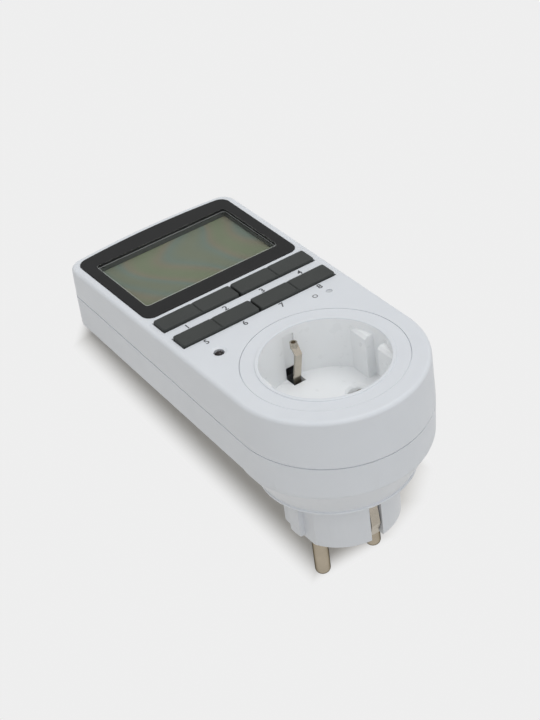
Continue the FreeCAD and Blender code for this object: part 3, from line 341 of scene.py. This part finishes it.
ZINC = Finish("zinc_plate", (0.50, 0.50, 0.49), 0.36, metallic=1.0, mottle=0.12, pitch=0.25,
              relief=0.004)
SPRING_STEEL = Finish("spring_steel", (0.42, 0.42, 0.41), 0.3, Grain.DRAWN, metallic=1.0,
                      mottle=0.08)
CAN_STEEL = Finish("can_steel", (0.60, 0.60, 0.58), 0.26, Grain.DRAWN, metallic=1.0, mottle=0.06)
BRASS = Finish("stamped_brass", (0.62, 0.44, 0.17), 0.32, Grain.DRAWN, metallic=1.0, mottle=0.1)
SHUTTER_GREY = Finish("shutter_grey", (0.64, 0.63, 0.62), 0.45, mottle=0.03)
CARRIER_WHITE = Finish("carrier_white", (0.56, 0.55, 0.52), 0.5, mottle=0.04)
MAT_RUBBER = Finish("mat_rubber", (0.22, 0.225, 0.23), 0.7, mottle=0.08, relief=0.008)
STRIPED_RUBBER = Finish("striped_rubber", (0.46, 0.22, 0.23), 0.65, mottle=0.08)
FOIL = Finish("reflector_foil", (0.34, 0.37, 0.32), 0.5, mottle=0.05, relief=0.006)
BLACK = Finish("black_nylon", (0.018, 0.018, 0.019), 0.5, mottle=0.1)
CHIP_BLACK = Finish("chip_black", (0.014, 0.014, 0.016), 0.62, mottle=0.12, relief=0.006)
BOARD_GREEN = Finish("board_green", (0.025, 0.105, 0.04), 0.3, Grain.BOARD, mottle=0.1,
                     relief=0.003)
SOLDER = Finish("solder", (0.62, 0.62, 0.61), 0.22, metallic=1.0, mottle=0.1, pitch=0.3)
RELAY_BLUE = Finish("relay_blue", (0.02, 0.075, 0.21), 0.4, mottle=0.06)
FILM_YELLOW = Finish("film_yellow", (0.56, 0.36, 0.045), 0.38, mottle=0.06)
SLEEVE_BLACK = Finish("sleeve_black", (0.018, 0.018, 0.035), 0.3, mottle=0.08, coat=0.2)
CELL_STEEL = Finish("cell_steel", (0.62, 0.62, 0.61), 0.28, Grain.DRAWN, metallic=1.0,
                    mottle=0.07)
FUSE_GLASS = Finish("fuse_glass", (0.72, 0.76, 0.74), 0.08, mottle=0.02, relief=0.0, alpha=0.6)
VARISTOR_BLUE = Finish("varistor_blue", (0.02, 0.11, 0.24), 0.25, mottle=0.08, coat=0.3)
WIRE_BROWN = Finish("wire_brown", (0.105, 0.038, 0.014), 0.42, mottle=0.06)
WIRE_BLUE = Finish("wire_blue", (0.015, 0.06, 0.26), 0.42, mottle=0.06)


class Palette:
    """Builds each finish once and lays it on meshes."""

    def __init__(self) -> None:
        """Start with no material made."""
        self._made: dict[str, bpy.types.Material] = {}

    def material(self, finish: Finish) -> bpy.types.Material:
        """Return the material of a finish, building it the first time."""
        if finish.name not in self._made:
            self._made[finish.name] = finish.build()
        return self._made[finish.name]

    def lay(self, piece: bpy.types.Object, finish: Finish) -> None:
        """Give a piece one finish all over."""
        piece.data.materials.clear()
        piece.data.materials.append(self.material(finish))


@dataclass(frozen=True)
class FaceFrame:
    """The case's own frame, read from the record's mount in the middle of the socket well."""

    matrix: Matrix

    @classmethod
    def from_record(cls, frame: Frame) -> "FaceFrame":
        """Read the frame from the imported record.


        Returns:
            The face frame, which turns millimetres on the face into metres of the model.
        """
        mounts = {mount["name"]: mount for mount in frame["record"]["mounts"]}
        well = mounts["socket_well"]
        out = Vector(well["axis"]).normalized()
        across = Vector((1.0, 0.0, 0.0))
        along = out.cross(across).normalized()
        turn = Matrix((across, along, out)).transposed().to_4x4()
        return cls(Matrix.Translation(Vector(well["pos_m"])) @ turn @ Matrix.Scale(MM, 4))

    def place(self, mesh: bpy.types.Mesh) -> None:
        """Carry a mesh from the face's millimetres into the model."""
        mesh.transform(self.matrix)
        mesh.update()


@dataclass
class Workshop:
    """What every sub-assembly needs: the frame, the face and the finishes."""

    frame: Frame
    face: FaceFrame
    palette: Palette
    smooth_angle: float = 25.0
    area_slack: float = 0.0005

    def node(self, name: str) -> bpy.types.Object:
        """Return a CAD node."""
        return self.frame["nodes"][name]

    def body_of(self, name: str) -> str:
        """Return the body that a CAD node belongs to."""
        return self.node(name)["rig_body"]

    def finish_node(self, name: str, finish: Finish) -> None:
        """Lay a finish on a CAD node that is shown as it is."""
        self.palette.lay(self.node(name), finish)
        LOG.info("node %s wears %s", name, finish.name)

    def _merge(self, mesh: bpy.types.Mesh) -> None:
        """Weld a CAD mesh and join its flat triangles, unless that would close a hole in a face."""
        work = bmesh.new()
        work.from_mesh(mesh)
        bmesh.ops.remove_doubles(work, verts=work.verts, dist=WELD_GAP)
        flat = work.copy()
        bmesh.ops.dissolve_limit(flat, angle_limit=math.radians(FLAT_ANGLE), verts=flat.verts,
                                 edges=flat.edges, delimit={"NORMAL"})
        flat.to_mesh(mesh)
        mesh.calc_loop_triangles()
        before = sum(face.calc_area() for face in work.faces)
        after = sum(triangle.area for triangle in mesh.loop_triangles)
        LOG.info("joined flat faces: area %.6f to %.6f", before, after)
        if abs(after - before) > self.area_slack * before:
            work.to_mesh(mesh)
        work.free()
        flat.free()

    def softened(self, name: str, finish: Finish, slot: str, edge: float,
                 edge_highlight: Finish | None = None) -> bpy.types.Object:
        """Stand in for a CAD node with a merged copy whose edges catch the light.

        Args:
            name: The CAD node.
            finish: Its finish.
            slot: The record's material slot of the node; not used.
            edge: Width of the edge break in millimetres, 0 for none.
            edge_highlight: A lighter finish of its own for the broken edges, a painted highlight.

        Returns:
            The copy, riding on the node's body.
        """
        mesh = self.node(name).data.copy()
        self._merge(mesh)
        piece = bpy.data.objects.new(f"{name}_moulded", mesh)
        bpy.context.scene.collection.objects.link(piece)
        for polygon in mesh.polygons:
            polygon.use_smooth = True
        mesh.set_sharp_from_angle(angle=math.radians(self.smooth_angle))
        if edge > 0:
            bevel = piece.modifiers.new("edge_break", "BEVEL")
            bevel.width = edge * MM
            bevel.segments = 2
            bevel.limit_method = "ANGLE"
            bevel.angle_limit = math.radians(self.smooth_angle)
            bevel.use_clamp_overlap = True
        weighted = piece.modifiers.new("flat_faces", "WEIGHTED_NORMAL")
        weighted.keep_sharp = True
        self.palette.lay(piece, finish)
        # The broken edges get a second, lighter finish as a painted highlight.
        if edge_highlight is not None:
            mesh.materials.append(self.palette.material(edge_highlight))
            piece.modifiers["edge_break"].material = 1
        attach(piece, self.body_of(name))
        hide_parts(name)
        LOG.info("piece %s: %d faces, %s", piece.name, len(mesh.polygons), finish.name)
        return piece

    def line(self, piece: bpy.types.Object, finish: Finish,
             inside: Callable[[Vector, float], bool]) -> None:
        """Give some faces of a piece a second finish.

        Args:
            piece: The piece.
            finish: The second finish.
            inside: Says whether a face gets it, from the face's middle in the case's own frame
                and from how far it looks along that frame's Z, 0 for a wall and 1 for a floor.
        """
        piece.data.materials.append(self.palette.material(finish))
        back = self.face.matrix.inverted()
        out = self.face.matrix.col[2].to_3d().normalized()
        for polygon in piece.data.polygons:
            if inside(back @ polygon.center, abs(polygon.normal.dot(out))):
                polygon.material_index = 1

    def add(self, name: str, mesh: bpy.types.Mesh, finish: Finish, body: str,
            slot: str) -> bpy.types.Object:
        """Link a new piece that is drawn in the face frame.

        Args:
            name: The piece's name.
            mesh: Its mesh, in the face's millimetres.
            finish: Its finish.
            body: The body it rides on.
            slot: The record's material slot; not used.

        Returns:
            The linked piece.
        """
        self.face.place(mesh)
        piece = bpy.data.objects.new(name, mesh)
        bpy.context.scene.collection.objects.link(piece)
        self.palette.lay(piece, finish)
        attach(piece, body)
        LOG.info("piece %s: %d faces, %s", name, len(mesh.polygons), finish.name)
        return piece


def turned(name: str, profile: Sequence[tuple[float, float]], middle: tuple[float, float],
           steps: int) -> bpy.types.Mesh:
    """Turn a closed profile about an axis that stands on the face.

    Args:
        name: The mesh's name.
        profile: Radii and levels round the profile, in millimetres.
        middle: Where the axis stands on the face.
        steps: Number of steps round the axis.

    Returns:
        A closed ring in the face's millimetres.
    """
    work = bmesh.new()
    loops = []
    for radius, level in profile:
        loop = []
        for step in range(steps):
            angle = 2 * math.pi * step / steps
            across = middle[0] + radius * math.cos(angle)
            along = middle[1] + radius * math.sin(angle)
            loop.append(work.verts.new((across, along, level)))
        loops.append(loop)
    for first, second in zip(loops, loops[1:] + loops[:1]):
        for step in range(steps):
            after = (step + 1) % steps
            work.faces.new((first[step], first[after], second[after], second[step]))
    bmesh.ops.recalc_face_normals(work, faces=work.faces)
    mesh = bpy.data.meshes.new(name)
    work.to_mesh(mesh)
    work.free()
    return mesh


def joined(name: str, meshes: Iterable[bpy.types.Mesh]) -> bpy.types.Mesh:
    """Put several meshes into one."""
    work = bmesh.new()
    for mesh in meshes:
        work.from_mesh(mesh)
    whole = bpy.data.meshes.new(name)
    work.to_mesh(whole)
    work.free()
    return whole


@dataclass
class Shells:
    """The two white shells, the bead at the boss's end and the screws that hold the shells."""

    shop: Workshop
    edge: float = 0.09
    bead: tuple[tuple[float, float], ...] = (
        (23.30, -37.97), (23.52, -37.97), (23.66, -37.88), (23.72, -37.72), (23.72, -37.52),
        (23.66, -37.38), (23.54, -37.28), (23.30, -37.24))
    bead_steps: int = 160

    def dress(self) -> None:
        """Give both shells and the screws their finishes."""
        self.shop.softened("front_cover", WHITE_ABS, "white_shell", self.edge)
        self.shop.softened("rear_cover", WHITE_ABS, "white_shell", self.edge)
        self.shop.finish_node("case_screws", ZINC)
        bead = turned("boss_bead", self.bead, (0.0, 0.0), self.bead_steps)
        for polygon in bead.polygons:
            polygon.use_smooth = True
        self.shop.add("boss_bead", bead, WHITE_ABS, "case", "white_shell")


@dataclass
class Display:
    """Bezel, window and the liquid crystal glass behind it."""

    shop: Workshop
    window_edge: float = 0.18
    window_half: float = 24.0
    window_middle: float = 72.4
    window_reach: float = 15.2
    lightened_wall_top: float = -0.7
    wall_lean: float = 0.5

    def in_hole(self, spot: Vector, lean: float) -> bool:
        """Tell the walls of the bezel's hole below the window, which get a lighter grey than the
        bezel as painted light.
        """
        beside = abs(spot.x) < self.window_half
        beyond = abs(spot.y - self.window_middle) < self.window_reach
        return beside and beyond and spot.z < self.lightened_wall_top and lean < self.wall_lean

    def dress(self) -> None:
        """Finish the display's pieces."""
        bezel = self.shop.softened("display_bezel", BEZEL_GREY, "bezel_grey", 0.0)
        # The hole's walls get a lighter grey as painted light.
        self.shop.line(bezel, HOLE_WALL_PAINTED_LIGHT_GREY, self.in_hole)
        # The window's broken edges wear a painted highlight.
        self.shop.softened("display_window", WINDOW, "clear_window", self.window_edge, WINDOW_EDGE_PAINTED_HIGHLIGHT)
        for name, finish in (("lcd_glass", LCD), ("lcd_reflector", FOIL), ("lcd_frame", BLACK),
                             ("lcd_connector", STRIPED_RUBBER)):
            self.shop.finish_node(name, finish)


@dataclass
class Marks:
    """Plain numerals under the keys and one plain ring beside the reset hole."""

    shop: Workshop
    height: float = 2.1
    cap_share: float = 0.69
    bolder: float = 0.035
    smoothness: int = 6
    lift: float = 0.012
    thick: float = 0.02
    upper_line: float = 40.55
    lower_line: float = 30.2
    columns: tuple[float, ...] = (-20.4, -6.9, 6.3, 20.0)
    ring_middle: tuple[float, float] = (16.0, 26.9)
    ring_radii: tuple[float, float] = (0.55, 0.85)
    ring_steps: int = 40

    def numeral(self, text: str, middle: tuple[float, float]) -> bpy.types.Mesh:
        """Draw one numeral on the face.

        Args:
            text: The digits.
            middle: Where its middle stands on the face.

        Returns:
            A mesh in the face's millimetres.
        """
        curve = bpy.data.curves.new(f"numeral_{text}", "FONT")
        curve.body = text
        curve.size = self.height / self.cap_share
        curve.align_x = "CENTER"
        curve.offset = self.bolder
        curve.extrude = self.thick / 2
        curve.resolution_u = self.smoothness
        holder = bpy.data.objects.new("numeral_holder", curve)
        bpy.context.scene.collection.objects.link(holder)
        graph = bpy.context.evaluated_depsgraph_get()
        mesh = bpy.data.meshes.new_from_object(holder.evaluated_get(graph))
        bpy.data.objects.remove(holder)
        foot, level = middle[1] - self.height / 2, self.lift + self.thick / 2
        mesh.transform(Matrix.Translation((middle[0], foot, level)))
        return mesh

    def ring(self) -> bpy.types.Mesh:
        """Draw the plain ring beside the reset hole."""
        inner, outer = self.ring_radii
        low, high = self.lift, self.lift + self.thick
        profile = ((inner, low), (inner, high), (outer, high), (outer, low))
        return turned("reset_ring", profile, self.ring_middle, self.ring_steps)

    def dress(self) -> None:
        """Print all marks."""
        numerals = []
        for row, line in enumerate((self.upper_line, self.lower_line)):
            for column, across in enumerate(self.columns, start=1):
                numerals.append(self.numeral(str(4 * row + column), (across, line)))
        self.shop.add("key_numerals", joined("key_numerals", numerals), INK, "case", "key_grey")
        self.shop.add("reset_mark", self.ring(), PALE_INK, "case", "key_grey")


@dataclass
class Keypad:
    """The four rocker keys, the rubber mat, the lamp and the reset button."""

    shop: Workshop
    edge: float = 0.06

    def dress(self) -> None:
        """Finish the keys and what lies around them."""
        for tier in ("lower", "upper"):
            for side in ("left", "right"):
                self.shop.softened(f"key_{tier}_{side}", KEY_GREY, "key_grey", self.edge)
        for name, finish in (("keypad_mat", MAT_RUBBER), ("indicator_led", LENS),
                             ("reset_button", BUTTON), ("reset_switch", BLACK)):
            self.shop.finish_node(name, finish)


@dataclass
class Socket:
    """The well with its shutter and earth clips."""

    shop: Workshop
    edge: float = 0.05
    clip_edge: float = 0.15
    well_reach: float = 22.0
    lip_level: float = -0.4

    def in_well(self, spot: Vector, _lean: float) -> bool:
        """Tell the inside of the well, which is glossier and painted a lighter white as painted
        light, from the cup's flange, which is neither.
        """
        return spot.z < self.lip_level and math.hypot(spot.x, spot.y) < self.well_reach

    def dress(self) -> None:
        """Finish the socket's pieces."""
        cup = self.shop.softened("socket_cup", WHITE_ABS, "white_socket", self.edge)
        # The well's inside gets a lighter white as painted light.
        self.shop.line(cup, WELL_WHITE_PAINTED_LIGHT, self.in_well)
        self.shop.softened("earth_clips", CLIP_NICKEL, "nickel", self.clip_edge)
        for name, finish in (("shutter", SHUTTER_GREY), ("shutter_cover", CARRIER_WHITE),
                             ("shutter_spring", SPRING_STEEL), ("earth_link", BRASS)):
            self.shop.finish_node(name, finish)


@dataclass
class Plug:
    """The plug with its pins, clamp, earth strip and wires."""

    shop: Workshop
    edge: float = 0.15
    strip_edge: float = 0.3

    def dress(self) -> None:
        """Finish the plug's pieces."""
        self.shop.softened("plug_body", PLUG_WHITE, "white_plug", self.edge)
        self.shop.softened("plug_pin_left", NICKEL, "nickel", 0.0)
        self.shop.softened("plug_pin_right", NICKEL, "nickel", 0.0)
        self.shop.softened("plug_earth_strip", CLIP_NICKEL, "nickel", self.strip_edge)
        for name, finish in (("pin_clamp", CARRIER_WHITE), ("clamp_screw", ZINC),
                             ("contact_carrier", CARRIER_WHITE), ("live_contact", BRASS),
                             ("neutral_contact", BRASS), ("live_wire", WIRE_BROWN),
                             ("neutral_wire", WIRE_BLUE)):
            self.shop.finish_node(name, finish)


@dataclass(frozen=True)
class JointRow:
    """One straight row of solder joints on a board, in the face frame's millimetres."""

    start: tuple[float, float]
    step: tuple[float, float]
    count: int
    radius: float
    height: float


@dataclass
class Boards:
    """Both circuit boards, what stands on them and their solder joints."""

    shop: Workshop
    control_back: float = -9.6
    power_back: float = -18.5
    control_rows: tuple[JointRow, ...] = (
        JointRow((-3.1, 29.5), (1.27, 0.0), 8, 0.30, 0.18),
        JointRow((-3.1, 42.5), (1.27, 0.0), 8, 0.30, 0.18),
        JointRow((9.7, 84.4), (2.54, 0.0), 5, 0.85, 0.70),
        JointRow((-20.0, 58.5), (1.9, 0.0), 21, 0.42, 0.16))
    power_rows: tuple[JointRow, ...] = (
        JointRow((-20.0, 46.5), (0.0, 5.2), 3, 1.15, 0.9),
        JointRow((-6.0, 46.5), (0.0, 10.4), 2, 1.15, 0.9),
        JointRow((5.0, 47.8), (13.0, 0.0), 2, 1.0, 0.8),
        JointRow((-14.0, 38.6), (12.0, 0.0), 2, 1.0, 0.8))
    cone_sides: int = 16
    cone_tiers: int = 3
    cone_top: float = 0.35
    uneven_seed: int = 7
    uneven_range: tuple[float, float] = (0.9, 1.08)

    def joint_tree(self, finish: Finish) -> Tree:
        """Build the tree that sets a row of solder cones along a line.

        Args:
            finish: Finish of the solder.

        Returns:
            A geometry node tree with inputs for the row's sizes.
        """
        tree = bpy.data.node_groups.new("solder_row", "GeometryNodeTree")
        sockets = tree.interface
        sockets.new_socket("Geometry", in_out="INPUT", socket_type="NodeSocketGeometry")
        for name, kind in (("Count", "NodeSocketInt"), ("Start", "NodeSocketVector"),
                           ("Step", "NodeSocketVector"), ("Radius", "NodeSocketFloat"),
                           ("Height", "NodeSocketFloat"), ("Turn", "NodeSocketVector")):
            sockets.new_socket(name, in_out="INPUT", socket_type=kind)
        sockets.new_socket("Geometry", in_out="OUTPUT", socket_type="NodeSocketGeometry")
        given = tree.nodes.new("NodeGroupInput").outputs
        line = add_node(tree, "GeometryNodeMeshLine", {
            "Count": given["Count"], "Start Location": given["Start"], "Offset": given["Step"],
        }, mode="OFFSET")
        cone = add_node(tree, "GeometryNodeMeshCone", {
            "Vertices": self.cone_sides, "Side Segments": self.cone_tiers,
            "Radius Bottom": given["Radius"], "Depth": given["Height"],
            "Radius Top": arithmetic(tree, "MULTIPLY", given["Radius"], self.cone_top),
        })
        least, most = self.uneven_range
        uneven = add_node(tree, "FunctionNodeRandomValue",
                          {"Seed": self.uneven_seed, 2: least, 3: most}, data_type="FLOAT")
        cones = add_node(tree, "GeometryNodeInstanceOnPoints", {
            "Points": line.outputs["Mesh"], "Instance": cone.outputs["Mesh"],
            "Scale": uneven.outputs[1],
        })
        turn = add_node(tree, "GeometryNodeRotateInstances",
                        {"Instances": cones.outputs["Instances"], "Rotation": given["Turn"]})
        real = add_node(tree, "GeometryNodeRealizeInstances",
                        {"Geometry": turn.outputs["Instances"]})
        paint = add_node(tree, "GeometryNodeSetMaterial", {
            "Geometry": real.outputs["Geometry"], "Material": self.shop.palette.material(finish),
        })
        add_node(tree, "NodeGroupOutput", {"Geometry": paint.outputs["Geometry"]})
        return tree

    def row_mesh(self, tree: Tree, row: JointRow, level: float) -> bpy.types.Mesh:
        """Run the tree for one row and return a plain mesh.

        Args:
            tree: The tree of joint_tree.
            row: The row's places and sizes.
            level: Depth of the board's soldered side below the face.

        Returns:
            The row's mesh in the face's millimetres, with its cones pointing away from the face.
        """
        seed = bpy.data.objects.new("solder_seed", bpy.data.meshes.new("solder_seed"))
        bpy.context.scene.collection.objects.link(seed)
        modifier = seed.modifiers.new("solder", "NODES")
        modifier.node_group = tree
        values = {"Count": row.count, "Start": (*row.start, level), "Step": (*row.step, 0.0),
                  "Radius": row.radius, "Height": row.height, "Turn": (math.pi, 0.0, 0.0)}
        for item in tree.interface.items_tree:
            if item.item_type == "SOCKET" and item.in_out == "INPUT" and item.name in values:
                modifier[item.identifier] = values[item.name]
        graph = bpy.context.evaluated_depsgraph_get()
        mesh = bpy.data.meshes.new_from_object(seed.evaluated_get(graph))
        seed.modifiers.remove(modifier)
        bpy.data.objects.remove(seed)
        return mesh

    def dress(self) -> None:
        """Finish the boards and solder their joints."""
        for name, finish in (("control_board", BOARD_GREEN), ("board_screws", ZINC),
                             ("control_chip", CHIP_BLACK), ("clock_crystal", CAN_STEEL),
                             ("board_link", BLACK), ("power_board", BOARD_GREEN),
                             ("power_board_screws", ZINC), ("relay", RELAY_BLUE),
                             ("film_capacitor", FILM_YELLOW),
                             ("electrolytic_capacitor", SLEEVE_BLACK),
                             ("backup_battery", CELL_STEEL), ("fuse", FUSE_GLASS),
                             ("varistor", VARISTOR_BLUE)):
            self.shop.finish_node(name, finish)
        tree = self.joint_tree(SOLDER)
        for name, rows, level in (("control_joints", self.control_rows, self.control_back),
                                  ("power_joints", self.power_rows, self.power_back)):
            mesh = joined(name, (self.row_mesh(tree, row, level) for row in rows))
            self.shop.add(name, mesh, SOLDER, "case", "screw_steel")


@dataclass(frozen=True)
class Lamp:
    """One soft lamp of the studio."""

    name: str
    azimuth: float
    elevation: float
    strength: float
    angle: float
    colour: Colour = (1.0, 1.0, 1.0)

    def hang(self) -> None:
        """Link the lamp, shining at the object from its side."""
        data = bpy.data.lights.new(self.name, "SUN")
        data.energy = self.strength
        data.angle = math.radians(self.angle)
        data.color = self.colour
        lamp = bpy.data.objects.new(self.name, data)
        side, rise = math.radians(self.azimuth), math.radians(self.elevation)
        reach = math.cos(rise)
        source = Vector((math.sin(side) * reach, -math.cos(side) * reach, math.sin(rise)))
        lamp.rotation_mode = "QUATERNION"
        lamp.rotation_quaternion = source.to_track_quat("Z", "Y")
        bpy.context.scene.collection.objects.link(lamp)
        LOG.info("lamp %s: %.2f", self.name, self.strength)


@dataclass(frozen=True)
class PaintedShadowVerge:
    """One straight verge of the floor patch that keeps the object's shadow on a darker floor, a
    painted shadow, in millimetres.
    """

    normal: tuple[float, float]
    distance: float
    fade: float


@dataclass
class Studio:
    """Pale floor, soft light and the camera of the photograph."""

    lens: float = 97.704
    sensor: float = 36.0
    eye: tuple[float, float, float] = (-237.169, -376.904, 322.667)
    right: tuple[float, float, float] = (0.815594, -0.567736, -0.111722)
    up: tuple[float, float, float] = (0.4103, 0.431307, 0.80351)
    back: tuple[float, float, float] = (-0.407995, -0.701178, 0.584714)
    sky: float = 0.62
    lamps: tuple[Lamp, ...] = (
        Lamp("key_lamp", 150.0, 60.0, 0.70, 40.0, (1.0, 0.995, 0.985)),
        Lamp("front_lamp", -30.0, 62.0, 0.30, 60.0))
    floor_half: float = 3.0
    dusk_top: float = 0.55
    floor_roughness: float = 0.9
    floor_specular: float = 0.1
    sky_tint: Colour = (0.97, 0.985, 1.0)
    clip: tuple[float, float] = (0.02, 20.0)
    # The verges bound a painted shadow patch around the object; the real shadow shows within it.
    painted_shadow_verges: tuple[PaintedShadowVerge, ...] = (
        PaintedShadowVerge((-0.980, -0.197), 16.4, 10.9), PaintedShadowVerge((-0.707, 0.707), 51.0, 6.5),
        PaintedShadowVerge((0.0, -1.0), 53.0, 7.0), PaintedShadowVerge((0.338, -0.941), 52.0, 10.5),
        PaintedShadowVerge((0.646, -0.763), 50.0, 13.0), PaintedShadowVerge((1.0, 0.0), 33.0, 9.0),
        PaintedShadowVerge((0.0, 1.0), 60.0, 10.0))

    def _painted_shadow_cleared(self, tree: Tree) -> Output:
        """Work out how far the floor has cleared, from 0 by the object to 1 beyond the verges; the
        darker floor inside is a painted shadow.
        """
        place = tree.nodes.new("ShaderNodeTexCoord").outputs["Object"]
        reach = 0.0
        for verge in self.painted_shadow_verges:
            outward = (verge.normal[0] / MM, verge.normal[1] / MM, 0.0)
            along = add_node(tree, "ShaderNodeVectorMath", {0: place, 1: outward},
                             operation="DOT_PRODUCT")
            beyond = arithmetic(tree, "SUBTRACT", along.outputs["Value"], verge.distance)
            beyond = arithmetic(tree, "DIVIDE", beyond, verge.fade)
            reach = arithmetic(tree, "MAXIMUM", beyond, reach)
        smooth = add_node(tree, "ShaderNodeMapRange", {"Value": reach},
                          interpolation_type="SMOOTHSTEP")
        return smooth.outputs["Result"]

    def _seen(self, tree: Tree) -> Output:
        """Return 1 for what the camera sees, also in metal and through glass."""
        path = tree.nodes.new("ShaderNodeLightPath").outputs
        seen = arithmetic(tree, "MAXIMUM", path["Is Camera Ray"], path["Is Glossy Ray"])
        return arithmetic(tree, "MAXIMUM", seen, path["Is Transmission Ray"])

    def floor(self) -> None:
        """Lay a wide pale floor that keeps the object's shadow on a darker patch, a painted shadow,
        and clears to the backdrop.
        """
        half = self.floor_half
        mesh = bpy.data.meshes.new("floor")
        outline = [(-half, -half, 0.0), (half, -half, 0.0), (half, half, 0.0), (-half, half, 0.0)]
        mesh.from_pydata(outline, [], [(0, 1, 2, 3)])
        plane = bpy.data.objects.new("floor", mesh)
        bpy.context.scene.collection.objects.link(plane)
        material = bpy.data.materials.new("pale_floor")
        material.use_nodes = True
        tree = material.node_tree
        shader = tree.nodes["Principled BSDF"]
        shader.inputs["Base Color"].default_value = opaque(Shade.FLOOR.value)
        shader.inputs["Roughness"].default_value = self.floor_roughness
        shader.inputs["Specular IOR Level"].default_value = self.floor_specular
        plain = add_node(tree, "ShaderNodeEmission", {"Color": opaque(Shade.BACKDROP.value)})
        shown = arithmetic(tree, "MULTIPLY", self._painted_shadow_cleared(tree), self._seen(tree))
        mix = add_node(tree, "ShaderNodeMixShader", {
            "Fac": shown, 1: shader.outputs["BSDF"], 2: plain.outputs["Emission"]})
        tree.links.new(mix.outputs["Shader"], tree.nodes["Material Output"].inputs["Surface"])
        mesh.materials.append(material)

    def _room(self, tree: Tree) -> Output:
        """Return the room: plain for the camera, and darker towards the horizon for the rest."""
        place = tree.nodes.new("ShaderNodeTexCoord").outputs["Generated"]
        place = add_node(tree, "ShaderNodeSeparateXYZ", {0: place})
        height = add_node(tree, "ShaderNodeMapRange",
                          {"From Max": self.dusk_top, "Value": place.outputs["Z"]},
                          interpolation_type="SMOOTHSTEP")
        plain = tree.nodes.new("ShaderNodeLightPath").outputs["Is Camera Ray"]
        pale = arithmetic(tree, "MAXIMUM", height.outputs["Result"], plain)
        return blended(tree, pale, opaque(Shade.DUSK.value), opaque(Shade.BACKDROP.value))

    def sky_light(self) -> None:
        """Surround the scene with an even pale sky, and with the room that the camera sees."""
        world = bpy.data.worlds.new("studio")
        world.use_nodes = True
        tree = world.node_tree
        light = tree.nodes["Background"]
        light.inputs["Color"].default_value = opaque(self.sky_tint)
        light.inputs["Strength"].default_value = self.sky
        seen = add_node(tree, "ShaderNodeBackground", {"Strength": 1.0, "Color": self._room(tree)})
        mix = add_node(tree, "ShaderNodeMixShader", {
            "Fac": self._seen(tree), 1: light.outputs["Background"],
            2: seen.outputs["Background"]})
        tree.links.new(mix.outputs["Shader"], tree.nodes["World Output"].inputs["Surface"])
        bpy.context.scene.world = world

    def camera(self, face: FaceFrame) -> None:
        """Stand the camera where the photograph was taken.

        Args:
            face: The face frame, in which the camera's place was solved.
        """
        data = bpy.data.cameras.new("camera")
        data.lens = self.lens
        data.sensor_width = self.sensor
        data.sensor_fit = "AUTO"
        data.clip_start, data.clip_end = self.clip
        eye = bpy.data.objects.new("camera", data)
        bpy.context.scene.collection.objects.link(eye)
        turn = face.matrix.to_3x3().normalized()
        axes = [turn @ Vector(axis) for axis in (self.right, self.up, self.back)]
        eye.rotation_mode = "QUATERNION"
        eye.rotation_quaternion = Matrix(axes).transposed().to_quaternion()
        eye.location = face.matrix @ Vector(self.eye)
        bpy.context.scene.camera = eye

    def build(self, face: FaceFrame) -> None:
        """Set floor, light and camera."""
        self.floor()
        self.sky_light()
        for lamp in self.lamps:
            lamp.hang()
        self.camera(face)
        bpy.context.scene.view_settings.view_transform = "Standard"


def clear_scene() -> None:
    """Remove what a new file starts with."""
    for thing in list(bpy.data.objects):
        bpy.data.objects.remove(thing)


def main() -> None:
    """Build the timer's looks piece by piece."""
    logging.basicConfig(level=logging.INFO, format="%(name)s: %(message)s")
    clear_scene()
    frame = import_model()
    face = FaceFrame.from_record(frame)
    shop = Workshop(frame, face, Palette())
    for assembly in (Shells, Display, Keypad, Socket, Plug, Boards, Marks):
        assembly(shop).dress()
    Studio().build(face)


if __name__ == "__main__":
    main()
